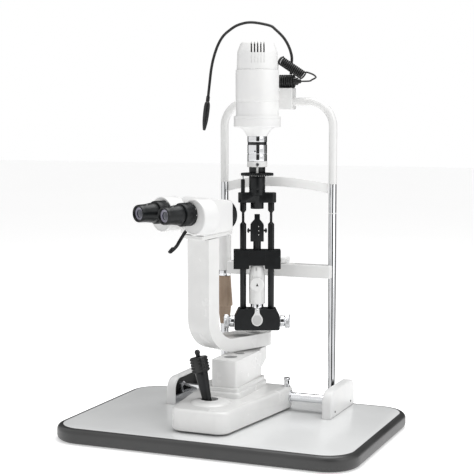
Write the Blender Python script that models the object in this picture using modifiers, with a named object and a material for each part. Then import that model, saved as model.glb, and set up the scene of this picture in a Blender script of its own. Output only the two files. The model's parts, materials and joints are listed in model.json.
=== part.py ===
"""A slit lamp on its instrument table: cross-slide base, swinging microscope, swinging lamp tower and head rest.

Metres, +Z up. The origin is under the middle of the table. The examiner sits at -Y and the patient at +Y.
Heights named ..._H or passed as h are measured from the table's top.
"""

import math

import bmesh
import bpy
from mathutils import Matrix, Vector

# ---------------------------------------------------------------- driving dimensions
GAP = 0.0003  # between pieces that touch
TABLE_W, TABLE_D, TABLE_T = 0.625, 0.432, 0.030
TABLE_CORNER = 0.065
EDGE_BAND = 0.012

BASE_X = -0.011  # the base rests a little to the left of the table's middle
BASE_FRONT_Y, BASE_REAR_Y = -0.160, 0.128
BASE_FRONT_HALF, BASE_REAR_HALF = 0.058, 0.098
BASE_BOTTOM_H, BASE_TOP_H, PLINTH_H = 0.003, 0.047, 0.066

AXLE_Y, AXLE_H, AXLE_R, SLEEVE_R = 0.100, 0.0285, 0.005, 0.009
PINION_R, PINION_TEETH = 0.0122, 14
COVER_X, COVER_HALF_SPAN = 0.0055, 0.1725  # middle between the covers, and from there to each cover's middle
COVER_W, COVER_H, COVER_WALL = 0.020, 0.055, 0.003
COVER_Y0, COVER_Y1 = 0.052, 0.207

SWING_Y = 0.148  # both arms swing about one upright post
SWING_POST_R = 0.008
LIFT_TOP_H = 0.120

MICROSCOPE_DEG = -24.6
ARM_HALF_W, ARM_T = 0.0325, 0.0275
ARM_BOTTOM_H, ARM_INNER_R = 0.1238, 0.136
ARM_HUB_R = 0.030
OPTIC_H = 0.4035
PRISM_X, PRISM_AXIS_H, PRISM_CENTRE_H, PRISM_R = 0.049, 0.399, 0.408, 0.036
EYE_X, EYE_H = 0.0392, 0.4140
PRISM_FRONT, EYE_FACE = 0.219, 0.287

TOWER_DEG = 22.6
TOWER_R = 0.052  # from the swing post to the tower's own axis
TILT_H = 0.1808
PILLAR_X, PILLAR_R = 0.0288, 0.0065

POLE_Y, POLE_R = 0.197, 0.008
POLE_LEFT_X, POLE_RIGHT_X = -0.105, 0.140
POLE_TOP_H, ARCH_TOP_H, ARCH_BEND, ARCH_R = 0.463, 0.6345, 0.052, 0.0085
CHIN_BOTTOM_H, CHIN_TOP_H = 0.2665, 0.2935
COLLAR_TOP_H, GRIP_TOP_H, GRIP_STEP_H, GRIP_BOTTOM_H = 0.2715, 0.2597, 0.1935, 0.1547
FIX_X, FIX_H, FIX_KNOB_R = 0.0365, 0.6770, 0.0140


# ---------------------------------------------------------------- scene and finishes
for old in list(bpy.data.objects):
    bpy.data.objects.remove(old, do_unlink=True)


def new_collection(name):
    collection = bpy.data.collections.new(name)
    bpy.context.scene.collection.children.link(collection)
    return collection


PARTS = new_collection("slit_lamp")
CUTTERS = new_collection("cutters")


def finish(name, colour, roughness, metallic=0.0):
    material = bpy.data.materials.new(name)
    material.use_nodes = True
    shader = material.node_tree.nodes["Principled BSDF"]
    shader.inputs["Base Color"].default_value = (*colour, 1.0)
    shader.inputs["Roughness"].default_value = roughness
    shader.inputs["Metallic"].default_value = metallic
    return material


WHITE = finish("white_enamel", (0.80, 0.80, 0.80), 0.30)
LAMINATE = finish("white_laminate", (0.78, 0.79, 0.79), 0.20)
EDGE = finish("grey_edging", (0.13, 0.13, 0.135), 0.45)
BLACK = finish("black_anodised", (0.010, 0.011, 0.012), 0.35)
RUBBER = finish("black_rubber", (0.012, 0.012, 0.012), 0.60)
CHROME = finish("chrome", (0.75, 0.75, 0.76), 0.08, 1.0)
STEEL = finish("turned_steel", (0.55, 0.55, 0.56), 0.25, 1.0)
BROWN = finish("brown_plastic", (0.27, 0.20, 0.15), 0.50)
GREY = finish("grey_plastic", (0.12, 0.12, 0.12), 0.45)
GLASS = finish("coated_glass", (0.10, 0.10, 0.20), 0.05)
MIRROR = finish("front_mirror", (0.90, 0.90, 0.90), 0.02, 1.0)


# ---------------------------------------------------------------- tools
def pivot(name, parent, location, turn_z=0.0):
    """An empty on a joint's axis, or at a frame's origin."""
    empty = bpy.data.objects.new(name, None)
    PARTS.objects.link(empty)
    empty.parent = parent
    empty.location = location
    empty.rotation_euler = (0.0, 0.0, turn_z)
    return empty


def add(name, data, material, parent, location=(0, 0, 0), rotation=(0, 0, 0)):
    obj = bpy.data.objects.new(name, data)
    PARTS.objects.link(obj)
    obj.parent = parent
    obj.location = location
    obj.rotation_euler = rotation
    data.materials.append(material)
    return obj


def smooth(obj, angle=35):
    obj.data.shade_smooth()
    obj.data.set_sharp_from_angle(angle=math.radians(angle))
    return obj


def round_edges(obj, width, segments=2, angle=35):
    bevel = obj.modifiers.new("round", "BEVEL")
    bevel.width = width
    bevel.segments = segments
    bevel.limit_method = "ANGLE"
    bevel.angle_limit = math.radians(angle)
    return obj


def mesh_from(bm, name):
    mesh = bpy.data.meshes.new(name)
    bm.to_mesh(mesh)
    bm.free()
    return mesh


def block(name, size, material, parent, location, rotation=(0, 0, 0), radius=0.0, segments=2):
    bm = bmesh.new()
    bmesh.ops.create_cube(bm, size=1.0, matrix=Matrix.Diagonal((*size, 1.0)))
    obj = add(name, mesh_from(bm, name), material, parent, location, rotation)
    return round_edges(obj, radius, segments) if radius else obj


def rod(name, radius, length, material, parent, location, rotation=(0, 0, 0), sides=18, end_radius=None):
    """A round bar or cone along its own Z, centred on its location."""
    bm = bmesh.new()
    top = radius if end_radius is None else end_radius
    bmesh.ops.create_cone(
        bm, cap_ends=True, segments=sides, radius1=radius, radius2=top, depth=length
    )
    return smooth(add(name, mesh_from(bm, name), material, parent, location, rotation))


def turned(name, profile, material, parent, location=(0, 0, 0), rotation=(0, 0, 0), steps=22, ring=False):
    """Turns (radius, z) points, listed down the outside; a ring's list comes back up its bore."""
    bm = bmesh.new()
    verts = [bm.verts.new((radius, 0.0, z)) for radius, z in profile]
    ends = list(zip(verts, verts[1:] + verts[:1] if ring else verts[1:]))
    for start, end in ends:
        bm.edges.new((start, end))
    obj = add(name, mesh_from(bm, name), material, parent, location, rotation)
    screw = obj.modifiers.new("turn", "SCREW")
    screw.steps = steps
    screw.render_steps = steps
    screw.use_merge_vertices = True
    screw.merge_threshold = 0.00001
    screw.use_smooth_shade = True
    return obj


def rounded(corners, steps=5):
    """A closed outline from (x, y, radius) corners, each radius drawn as an arc."""
    outline = []
    for index, (x, y, radius) in enumerate(corners):
        here = Vector((x, y))
        if radius == 0.0:
            outline.append(here)
            continue
        back = (Vector(corners[index - 1][:2]) - here).normalized()
        ahead = (Vector(corners[(index + 1) % len(corners)][:2]) - here).normalized()
        half = back.angle(ahead) / 2
        centre = here + (back + ahead).normalized() * radius / math.sin(half)
        start = here + back * radius / math.tan(half) - centre
        sweep = math.copysign(math.pi - 2 * half, back.cross(ahead) * -1)
        for step in range(steps + 1):
            outline.append(centre + Matrix.Rotation(sweep * step / steps, 2) @ start)
    return outline


def rectangle(x0, y0, x1, y1, radius):
    return [(x0, y0, radius), (x1, y0, radius), (x1, y1, radius), (x0, y1, radius)]


def slab(name, outlines, thickness, material, parent, location, rotation=(0, 0, 0), edge=0.0):
    """A flat plate: its first outline is the outside and any others are holes. edge rounds the rims."""
    curve = bpy.data.curves.new(name, "CURVE")
    curve.dimensions = "2D"
    curve.fill_mode = "BOTH"
    curve.extrude = thickness / 2 - edge
    curve.bevel_depth = edge
    curve.bevel_resolution = 1 if edge else 0
    curve.offset = -edge
    for outline in outlines:
        spline = curve.splines.new("POLY")
        spline.points.add(len(outline) - 1)
        for point, place in zip(spline.points, outline):
            point.co = (place[0], place[1], 0.0, 1.0)
        spline.use_cyclic_u = True
    return add(name, curve, material, parent, location, rotation)


def tube(name, points, radius, material, parent, sides_step=2, location=(0, 0, 0)):
    curve = bpy.data.curves.new(name, "CURVE")
    curve.dimensions = "3D"
    curve.bevel_depth = radius
    curve.bevel_resolution = sides_step
    curve.use_fill_caps = True
    spline = curve.splines.new("POLY")
    spline.points.add(len(points) - 1)
    for point, place in zip(spline.points, points):
        point.co = (*place, 1.0)
    return add(name, curve, material, parent, location)


def as_mesh(obj):
    """Turns a curve object into a mesh object of the same name, so that it can be cut or joined."""
    bpy.context.view_layer.update()
    evaluated = obj.evaluated_get(bpy.context.evaluated_depsgraph_get())
    mesh = bpy.data.meshes.new_from_object(evaluated)
    bm = bmesh.new()
    bm.from_mesh(mesh)
    bmesh.ops.remove_doubles(bm, verts=bm.verts, dist=0.00001)
    bm.to_mesh(mesh)
    bm.free()
    name, parent = obj.name, obj.parent
    location, rotation, material = obj.location.copy(), obj.rotation_euler.copy(), obj.data.materials[0]
    bpy.data.objects.remove(obj, do_unlink=True)
    mesh.materials.clear()
    return add(name, mesh, material, parent, location, rotation)


def combine(target, tool, operation="DIFFERENCE"):
    """Cuts, joins or intersects target with tool, which becomes a hidden helper."""
    target = as_mesh(target) if target.type == "CURVE" else target
    tool.name = f"{target.name}_{operation.lower()}_{len(target.modifiers)}"
    tool = as_mesh(tool) if tool.type == "CURVE" else tool
    PARTS.objects.unlink(tool)
    CUTTERS.objects.link(tool)
    tool.hide_render = True
    tool.display_type = "WIRE"
    boolean = target.modifiers.new(operation.lower(), "BOOLEAN")
    boolean.operation = operation
    boolean.object = tool
    boolean.solver = "EXACT"
    return target


def spline_points(route, count):
    """Evenly numbered points on a Catmull-Rom curve through route."""
    ends = [2 * Vector(route[0]) - Vector(route[1])] + [Vector(p) for p in route]
    ends.append(2 * Vector(route[-1]) - Vector(route[-2]))
    points = []
    spans = len(route) - 1
    for step in range(count + 1):
        place = min(step * spans / count, spans - 1e-9)
        i = int(place)
        t = place - i
        a, b, c, d = ends[i : i + 4]
        points.append(
            0.5 * (2 * b + (c - a) * t + (2 * a - 5 * b + 4 * c - d) * t**2 + (3 * b - 3 * c + d - a) * t**3)
        )
    return points


ALONG_X = (0.0, math.pi / 2, 0.0)  # turns a piece's own Z to +X
OUTWARD = (math.pi / 2, 0.0, 0.0)  # turns a piece's own Z to -Y, away from the swing post
TABLE = pivot("table_frame", None, (0.0, 0.0, TABLE_T))


# ---------------------------------------------------------------- table
def table():
    inner = EDGE_BAND + GAP
    half_w, half_d = TABLE_W / 2, TABLE_D / 2
    board = rounded(
        rectangle(-half_w + inner, -half_d + inner, half_w - inner, half_d - inner, TABLE_CORNER - inner)
    )
    slab("table_top", [board], TABLE_T, LAMINATE, None, (0, 0, TABLE_T / 2))
    outer = rounded(rectangle(-half_w, -half_d, half_w, half_d, TABLE_CORNER))
    band = slab("table_edge_band", [outer], TABLE_T, EDGE, None, (0, 0, TABLE_T / 2), edge=0.010)
    hole = rounded(
        rectangle(
            -half_w + EDGE_BAND, -half_d + EDGE_BAND, half_w - EDGE_BAND, half_d - EDGE_BAND,
            TABLE_CORNER - EDGE_BAND,
        )
    )
    combine(band, slab("tool", [hole], 2 * TABLE_T, EDGE, None, (0, 0, TABLE_T / 2)))


# ---------------------------------------------------------------- rails
def rails():
    middle_y = (COVER_Y0 + COVER_Y1) / 2
    length = COVER_Y1 - COVER_Y0
    for side, name in ((-1, "left"), (1, "right")):
        x = COVER_X + side * COVER_HALF_SPAN
        shape = rounded(
            [(-length / 2, 0, 0), (length / 2, 0, 0), (length / 2, COVER_H, 0.022), (-length / 2, COVER_H, 0.026)]
        )
        cover = slab(
            f"rail_cover_{name}", [shape], COVER_W, WHITE, TABLE,
            (x, middle_y, GAP), (math.pi / 2, 0, math.pi / 2), edge=0.0022,
        )
        wall = COVER_WALL
        hollow = rounded(
            [
                (-length / 2 + wall, -0.01, 0), (length / 2 - wall, -0.01, 0),
                (length / 2 - wall, COVER_H - wall, 0.019), (-length / 2 + wall, COVER_H - wall, 0.023),
            ]
        )
        tool = slab(
            "tool", [hollow], COVER_W, WHITE, TABLE,
            (x - side * COVER_WALL, middle_y, 0), (math.pi / 2, 0, math.pi / 2),
        )
        combine(cover, tool)
        rack(f"rack_{name}", x - side * 0.0015, middle_y, length - 2 * wall - 0.002)


def rack(name, x, middle_y, length):
    """A toothed strip that a pinion rolls along, with teeth at the pinion's own pitch."""
    pitch = 2 * math.pi * (PINION_R - 0.0008) / PINION_TEETH
    top = AXLE_H - PINION_R - 0.0004
    count = int(length / pitch) - 1
    start = -count * pitch / 2
    outline = [(length / 2, 0.0), (length / 2, top - 0.0014), (-length / 2, top - 0.0014), (-length / 2, 0.0)]
    teeth = []
    for tooth in range(count + 1):
        centre = start + tooth * pitch
        teeth += [(centre - 0.0011, top - 0.0014), (centre - 0.0006, top)]
        teeth += [(centre + 0.0006, top), (centre + 0.0011, top - 0.0014)]
    outline = outline[:2] + teeth[::-1] + outline[2:]
    slab(
        name, [[Vector(p) for p in outline[::-1]]], 0.010, STEEL, TABLE,
        (x, middle_y, GAP), (math.pi / 2, 0, math.pi / 2),
    )


def gear_outline(radius, teeth, depth):
    outline = []
    for tooth in range(teeth):
        profile = ((-0.30, radius - depth), (-0.17, radius), (0.17, radius), (0.30, radius - depth))
        for part, reach in profile:
            angle = 2 * math.pi * (tooth + part) / teeth
            outline.append(Vector((reach * math.cos(angle), reach * math.sin(angle))))
    return outline


def circle(radius, steps, x=0.0, y=0.0):
    return [
        Vector((x, y)) + radius * Vector((math.cos(angle), math.sin(angle)))
        for angle in (2 * math.pi * i / steps for i in range(steps))
    ]


def axle():
    """The bright sleeve slides fore and aft; the axle turns inside it, with a pinion on each end."""
    half = COVER_HALF_SPAN - 0.0080
    frame = pivot("carriage_frame", TABLE, (COVER_X, AXLE_Y, AXLE_H))
    turned(
        "axle_sleeve",
        [(SLEEVE_R, half), (SLEEVE_R, -half), (AXLE_R + GAP, -half), (AXLE_R + GAP, half)],
        CHROME, frame, (0, 0, 0), ALONG_X, steps=20, ring=True,
    )
    roll = pivot("axle_axis", frame, (0, 0, 0))
    rod("axle", AXLE_R, 2 * (half + 0.0080), STEEL, roll, (0, 0, 0), ALONG_X, 20)
    for side, name in ((-1, "left"), (1, "right")):
        pinion = gear_outline(PINION_R, PINION_TEETH, 0.0014)
        slab(
            f"pinion_{name}", [pinion, circle(AXLE_R + GAP, 20)], 0.0070, STEEL, roll,
            (side * (half + GAP + 0.0035), 0, 0), ALONG_X,
        )


# ---------------------------------------------------------------- cross-slide base
def base():
    frame = pivot("base_frame", TABLE, (BASE_X, 0.0, 0.0))
    plan = rounded(
        [
            (-BASE_FRONT_HALF, BASE_FRONT_Y, 0.026), (BASE_FRONT_HALF, BASE_FRONT_Y, 0.026),
            (BASE_REAR_HALF, BASE_REAR_Y, 0.022), (-BASE_REAR_HALF, BASE_REAR_Y, 0.022),
        ]
    )
    tall = BASE_TOP_H - BASE_BOTTOM_H
    middle = (BASE_TOP_H + BASE_BOTTOM_H) / 2
    housing = slab("base_housing", [plan], tall, WHITE, frame, (0, 0, middle), edge=0.006)
    step = rounded(rectangle(-0.038, -0.040, 0.038, 0.1195, 0.012), 4)
    housing = combine(housing, slab("tool", [step], 0.020, WHITE, frame, (0, 0, 0.0480), edge=0.004), "UNION")
    plinth = rounded(rectangle(-0.0335, -0.0345, 0.0335, 0.1145, 0.006), 4)
    combine(housing, slab("tool", [plinth], 0.026, WHITE, frame, (0, 0, PLINTH_H - 0.013), edge=0.002), "UNION")
    pad = turned(
        "tool", [(0.0, 0.0515), (0.030, 0.0515), (0.036, 0.0500), (0.041, 0.0465), (0.041, 0.040), (0.0, 0.040)],
        WHITE, frame, (-0.004, -0.084, 0), steps=20,
    )
    combine(housing, pad, "UNION")
    cavity = rounded(
        [
            (-BASE_FRONT_HALF + 0.006, BASE_FRONT_Y + 0.006, 0.020),
            (BASE_FRONT_HALF - 0.006, BASE_FRONT_Y + 0.006, 0.020),
            (BASE_REAR_HALF - 0.006, BASE_REAR_Y - 0.006, 0.016),
            (-BASE_REAR_HALF + 0.006, BASE_REAR_Y - 0.006, 0.016),
        ],
        3,
    )
    combine(housing, slab("tool", [cavity], 0.080, WHITE, frame, (0, 0, 0)))
    well = lift_outline(GAP)
    combine(housing, slab("tool", [well], 0.120, WHITE, frame, (0, 0, 0.080)))
    combine(housing, rod("tool", 0.0175, 0.060, WHITE, frame, (-0.0097, -0.0765, 0.050), sides=24))
    combine(housing, rod("tool", SLEEVE_R + GAP, 0.300, WHITE, frame, (0, AXLE_Y, AXLE_H), ALONG_X))

    knob_axis = pivot("base_lock_axis", frame, (0.083, 0.110, 0.0))
    turned(
        "base_lock_knob",
        [
            (0.0, 0.0650), (0.0064, 0.0650), (0.0072, 0.0642), (0.0072, 0.0615), (0.0058, 0.0600),
            (0.0058, 0.0500), (0.0072, BASE_TOP_H + GAP), (0.0, BASE_TOP_H + GAP),
        ],
        CHROME, knob_axis, steps=20,
    )
    return frame


# ---------------------------------------------------------------- joystick
JOYSTICK_TILT = (0.0, math.radians(-12.5), 0.0)


def joystick(base_frame):
    """The stick leans on a ball low in the base; its grip turns about the stick and its cap presses down."""
    frame = pivot("joystick_axis", base_frame, (-0.0087, -0.077, 0.020))
    frame.rotation_euler = JOYSTICK_TILT
    turned(
        "joystick_shaft",
        [
            (0.0, 0.1140), (0.0050, 0.1140), (0.0050, 0.0860), (0.0128, 0.0860), (0.0125, 0.078), (0.0092, 0.034),
            (0.0088, 0.020), (0.0060, 0.012), (0.0100, 0.006), (0.0118, 0.0), (0.0100, -0.006), (0.0060, -0.0105),
            (0.0, -0.012),
        ],
        BLACK, frame, steps=18,
    )
    ribs = gear_outline(0.0186, 14, 0.0014)
    slab("joystick_grip", [ribs, circle(0.0053, 16)], 0.0300, RUBBER, frame, (0, 0, 0.1015), edge=0.0)
    turned(
        "joystick_button",
        [
            (0.0, 0.1310), (0.0030, 0.1304), (0.0052, 0.1280), (0.0056, 0.1250), (0.0046, 0.1222), (0.0046, 0.1172),
            (0.0, 0.1172),
        ],
        BLACK, frame, steps=18,
    )


# ---------------------------------------------------------------- lift and swing post
def lift_outline(grow):
    """The lift block's plan, grown a little for the well that it slides in."""
    half = 0.0275 + grow
    return rounded(rectangle(-half, -0.0285 - grow, half, 0.1100 + grow, 0.005), 3)


def lift(base_frame):
    frame = pivot("lift_frame", base_frame, (0, 0, 0))
    bottom = 0.0205
    middle_h = (LIFT_TOP_H + bottom) / 2
    column = slab("lift_block", [lift_outline(0.0)], LIFT_TOP_H - bottom, WHITE, frame, (0, 0, middle_h))
    nose = [Vector((-0.0215, 0.08)), Vector((0.0215, 0.08))]
    nose += [
        Vector((0.0215 * math.cos(math.radians(a)), SWING_Y + 0.0215 * math.sin(math.radians(a))))
        for a in range(0, 181, 15)
    ]
    arm = slab("tool", [nose], 0.040, WHITE, frame, (0, 0, LIFT_TOP_H - 0.020))
    column = combine(column, arm, "UNION")
    # the nose's underside slopes up and away from the block
    slope = (math.radians(28), 0, 0)
    combine(column, block("tool", (0.10, 0.10, 0.05), WHITE, frame, (0, 0.1638, 0.0735), slope))
    # below the plinth the block stops short of the axle
    combine(column, block("tool", (0.10, 0.040, 0.060), WHITE, frame, (0, 0.0870 + 0.020, 0.0485 - 0.0300)))
    combine(column, rod("tool", 0.0140, 0.006, WHITE, frame, (-0.003, 0.012, LIFT_TOP_H), sides=18))
    combine(column, rod("tool", 0.0095, 0.006, WHITE, frame, (0.001, 0.054, LIFT_TOP_H), sides=20))
    combine(column, rod("tool", SWING_POST_R + GAP, 0.200, WHITE, frame, (0, SWING_Y, LIFT_TOP_H), sides=18))
    round_edges(column, 0.0018, 1, 50)
    collar_top = ARM_BOTTOM_H - GAP
    turned(
        "swing_post",
        [
            (0.0, 0.1585), (SWING_POST_R, 0.1585), (SWING_POST_R, collar_top), (0.0205, collar_top),
            (0.0205, LIFT_TOP_H + GAP), (SWING_POST_R, LIFT_TOP_H + GAP), (SWING_POST_R, 0.0960), (0.0, 0.0960),
        ],
        CHROME, frame, (0, SWING_Y, 0), steps=20,
    )


# ---------------------------------------------------------------- microscope
def along_arm(name, corners, width, material, parent, edge=0.0):
    """A plate standing along an arm, drawn with corners of (distance out from the swing post, height, radius)."""
    return slab(name, [rounded(corners)], width, material, parent, (0, 0, 0), (math.pi / 2, 0, -math.pi / 2), edge)


def facing_out(name, profile, material, parent, x, h, steps=20, ring=False):
    """A turned piece on a level axis that points away from the swing post; its z is the distance from the post."""
    return turned(name, profile, material, parent, (x, 0, h), OUTWARD, steps, ring)


def microscope_arm():
    frame = pivot("microscope_axis", TABLE, (BASE_X, SWING_Y, 0.0), math.radians(MICROSCOPE_DEG))
    outer_r = ARM_INNER_R + ARM_T
    top = ARM_BOTTOM_H + ARM_T
    arm = along_arm(
        "microscope_arm",
        [
            (-ARM_HUB_R, ARM_BOTTOM_H, 0.004), (outer_r, ARM_BOTTOM_H, 0.068), (outer_r, 0.3585, 0),
            (ARM_INNER_R, 0.3616, 0), (ARM_INNER_R, top, 0.040), (-ARM_HUB_R, top, 0.002),
        ],
        2 * ARM_HALF_W, WHITE, frame, edge=0.0,
    )
    plan = [Vector((-ARM_HALF_W, -0.20)), Vector((ARM_HALF_W, -0.20)), Vector((ARM_HALF_W, -0.03))]
    plan += [
        Vector((ARM_HUB_R * math.cos(math.radians(a)), ARM_HUB_R * math.sin(math.radians(a))))
        for a in range(-6, 187, 12)
    ]
    plan += [Vector((-ARM_HALF_W, -0.03))]
    arm = combine(arm, slab("tool", [plan], 0.600, WHITE, frame, (0, 0, 0.300)), "INTERSECT")
    combine(arm, rod("tool", SWING_POST_R + GAP, 0.100, WHITE, frame, (0, 0, 0.140), sides=18))
    combine(arm, rod("tool", 0.0290, 0.0040, WHITE, frame, (0, -0.063, top), sides=22))
    round_edges(arm, 0.0025, 1, 40)

    slope_back, slope_front = (0.1800, 0.3583), (0.0985, 0.3665)
    along_arm(
        "microscope_plate",
        [
            (slope_front[0], slope_front[1], 0.002), (slope_back[0], slope_back[1] - GAP, 0.002),
            (slope_back[0], slope_back[1] + 0.008, 0.001), (slope_front[0], slope_front[1] + 0.0068, 0.001),
        ],
        0.064, WHITE, frame,
    )
    body = along_arm(
        "microscope_body",
        [(0.1005, 0.3737, 0.004), (0.1800, 0.3670, 0.004), (0.1800, 0.4445, 0.010), (0.1005, 0.4355, 0.004)],
        0.074, WHITE, frame,
    )
    body = as_mesh(body)
    round_edges(body, 0.006, 3, 40)
    facing_out(
        "objective",
        [
            (0.0, 0.1000), (0.0290, 0.1000), (0.0290, 0.0830), (0.0275, 0.0812), (0.0240, 0.0812), (0.0225, 0.0870),
            (0.0, 0.0850),
        ],
        BLACK, frame, 0, OPTIC_H,
    )
    lever(frame)
    for side, name in ((-1, "left"), (1, "right")):
        prism(frame, side, name)


def lever(frame):
    """The magnification lever hangs out and down between the two prism housings."""
    out, h = 0.1866, 0.3815
    axis = pivot("magnification_axis", frame, (0, -out, h))
    route = [(0, 0.0, 0.0), (0, -0.010, -0.006), (0, -0.024, -0.022), (0, -0.034, -0.034), (0, -0.046, -0.042)]
    stick = as_mesh(tube("magnification_lever", spline_points(route, 10), 0.0034, BLACK, axis, 2))
    lean = (math.radians(35), 0, 0)
    tip = block("tool", (0.0130, 0.0160, 0.0055), BLACK, axis, (0, -0.0460, -0.0410), lean, 0.002, 1)
    combine(stick, tip, "UNION")
    combine(stick, rod("tool", 0.0060, 0.0120, BLACK, axis, (0, 0, 0), ALONG_X, 16), "UNION")


def prism(frame, side, name):
    """One eye's prism housing turns on its own axis, which carries its eyepiece in or out."""
    axis = pivot(f"prism_axis_{name}", frame, (side * PRISM_X, 0, PRISM_AXIS_H))
    rise = PRISM_CENTRE_H - PRISM_AXIS_H
    eye_x = side * (EYE_X - PRISM_X)
    eye_h = EYE_H - PRISM_AXIS_H
    facing_out(
        f"prism_housing_{name}",
        [
            (0.0, 0.1804), (PRISM_R - 0.002, 0.1804), (PRISM_R, 0.1824), (PRISM_R, PRISM_FRONT - 0.0025),
            (PRISM_R - 0.0025, PRISM_FRONT), (PRISM_R - 0.005, PRISM_FRONT - 0.0008), (0.0, PRISM_FRONT - 0.0008),
        ][::-1],
        WHITE, axis, 0, rise, steps=18,
    )
    start, ring_end, face = PRISM_FRONT + GAP, 0.2450, EYE_FACE
    facing_out(
        f"eyepiece_{name}",
        [
            (0.0, face - 0.006), (0.0125, face - 0.006), (0.0140, face - 0.0008), (0.0155, face), (0.0172, face - 0.0012),
            (0.0178, face - 0.0080), (0.0182, face - 0.0200), (0.0200, ring_end + 0.0080), (0.0200, ring_end + GAP),
            (0.0150, ring_end + GAP), (0.0150, start), (0.0, start),
        ],
        BLACK, axis, eye_x, eye_h, steps=20,
    )
    dioptre = pivot(f"dioptre_axis_{name}", axis, (eye_x, 0, eye_h))
    facing_out(
        f"dioptre_ring_{name}",
        [
            (0.0218, ring_end), (0.0232, ring_end - 0.0020), (0.0232, start + 0.0070), (0.0216, start + 0.0060),
            (0.0216, start + 0.0040), (0.0232, start + 0.0030), (0.0232, start), (0.0153, start), (0.0153, ring_end),
        ],
        BLACK, dioptre, 0, 0, steps=22, ring=True,
    )


# ---------------------------------------------------------------- lamp tower
def tower():
    swing = pivot("tower_swing_axis", TABLE, (BASE_X, SWING_Y, 0.0), math.radians(TOWER_DEG))
    hub_bottom = ARM_BOTTOM_H + ARM_T + 2 * GAP
    arm = slab(
        "tower_arm", [circle(0.0235, 28), circle(SWING_POST_R + GAP, 24)], 0.0050, WHITE, swing,
        (0, 0, hub_bottom + 0.0025),
    )
    tongue = along_arm(
        "tool",
        [
            (0.0095, hub_bottom, 0), (0.0270, hub_bottom, 0.002), (0.0270, 0.1700, 0.004), (0.0600, 0.1720, 0.0085),
            (0.0600, 0.1896, 0.0085), (0.0220, 0.1950, 0.008), (0.0095, 0.1620, 0),
        ],
        0.020, WHITE, swing,
    )
    arm = combine(arm, tongue, "UNION")
    combine(arm, rod("tool", 0.0033, 0.060, WHITE, swing, (0, -TOWER_R, TILT_H), ALONG_X, 16))

    tilt = pivot("tower_tilt_axis", swing, (0, -TOWER_R, TILT_H))
    foot_block(tilt)
    slit_control(tilt)
    pillars_and_blocks(tilt)
    mirror(tilt)
    lamp(tilt)


def up(h):
    """Height within the tilting tower, whose frame lies on the tilt axis."""
    return h - TILT_H


def foot_block(tilt):
    top, bottom, half = up(0.2085), up(0.1645), 0.0468
    outline = rounded(
        [
            (-half, bottom, 0.004), (half, bottom, 0.004), (half, up(0.1915), 0.004),
            (0.0385, top, 0.002), (-0.0385, top, 0.002), (-half, up(0.1915), 0.004),
        ],
        3,
    )
    foot = slab("tower_foot", [outline], 0.038, BLACK, tilt, (0, 0, 0), (math.pi / 2, 0, 0))
    slot_plan = rounded(rectangle(-0.0106, -0.0115, 0.0106, 0.06, 0.002), 2)
    slot = slab("tool", [slot_plan], 0.060, BLACK, tilt, (0, 0, up(0.1685)))
    foot = combine(foot, slot)
    combine(foot, rod("tool", 0.0034, 0.200, BLACK, tilt, (0, 0, 0), ALONG_X, 16))
    round_edges(foot, 0.0012, 1, 40)
    latch = pivot("tilt_latch_axis", tilt, (0, 0, up(0.1868)))
    drop = [(0.0125 * math.cos(math.radians(a)), 0.0125 * math.sin(math.radians(a))) for a in range(-220, 41, 20)]
    neck = [(0.0047, 0.0165), (0.0047, 0.0245), (-0.0047, 0.0245), (-0.0047, 0.0165)]
    outline = [Vector(p) for p in drop + neck]
    slab("tilt_latch", [outline], 0.0040, WHITE, latch, (0, -0.0190 - 0.0024, 0), (math.pi / 2, 0, 0), edge=0.001)


def slit_control(tilt):
    """Two stepped knobs on one shaft that runs through the foot, on the line that the tower tilts about."""
    start, end, shaft_r = 0.0472, 0.0687, 0.0030
    knob = [(0.0118, start), (0.0118, start + 0.0085), (0.0100, start + 0.0095)]
    knob += [(0.0140, start + 0.0112), (0.0140, end - 0.001), (0.0128, end)]
    tip = 0.0560
    turned(
        "slit_knob_left",
        [(0.0, tip), (shaft_r, tip), *[(r, -z) for r, z in [(shaft_r, start)] + knob], (0.0, -end)],
        CHROME, tilt, rotation=ALONG_X, steps=20,
    )
    turned(
        "slit_knob_right",
        [(shaft_r + GAP, start), *knob, (0.0, end), (0.0, tip + GAP), (shaft_r + GAP, tip + GAP)][::-1],
        CHROME, tilt, rotation=ALONG_X, steps=20, ring=True,
    )


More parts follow.
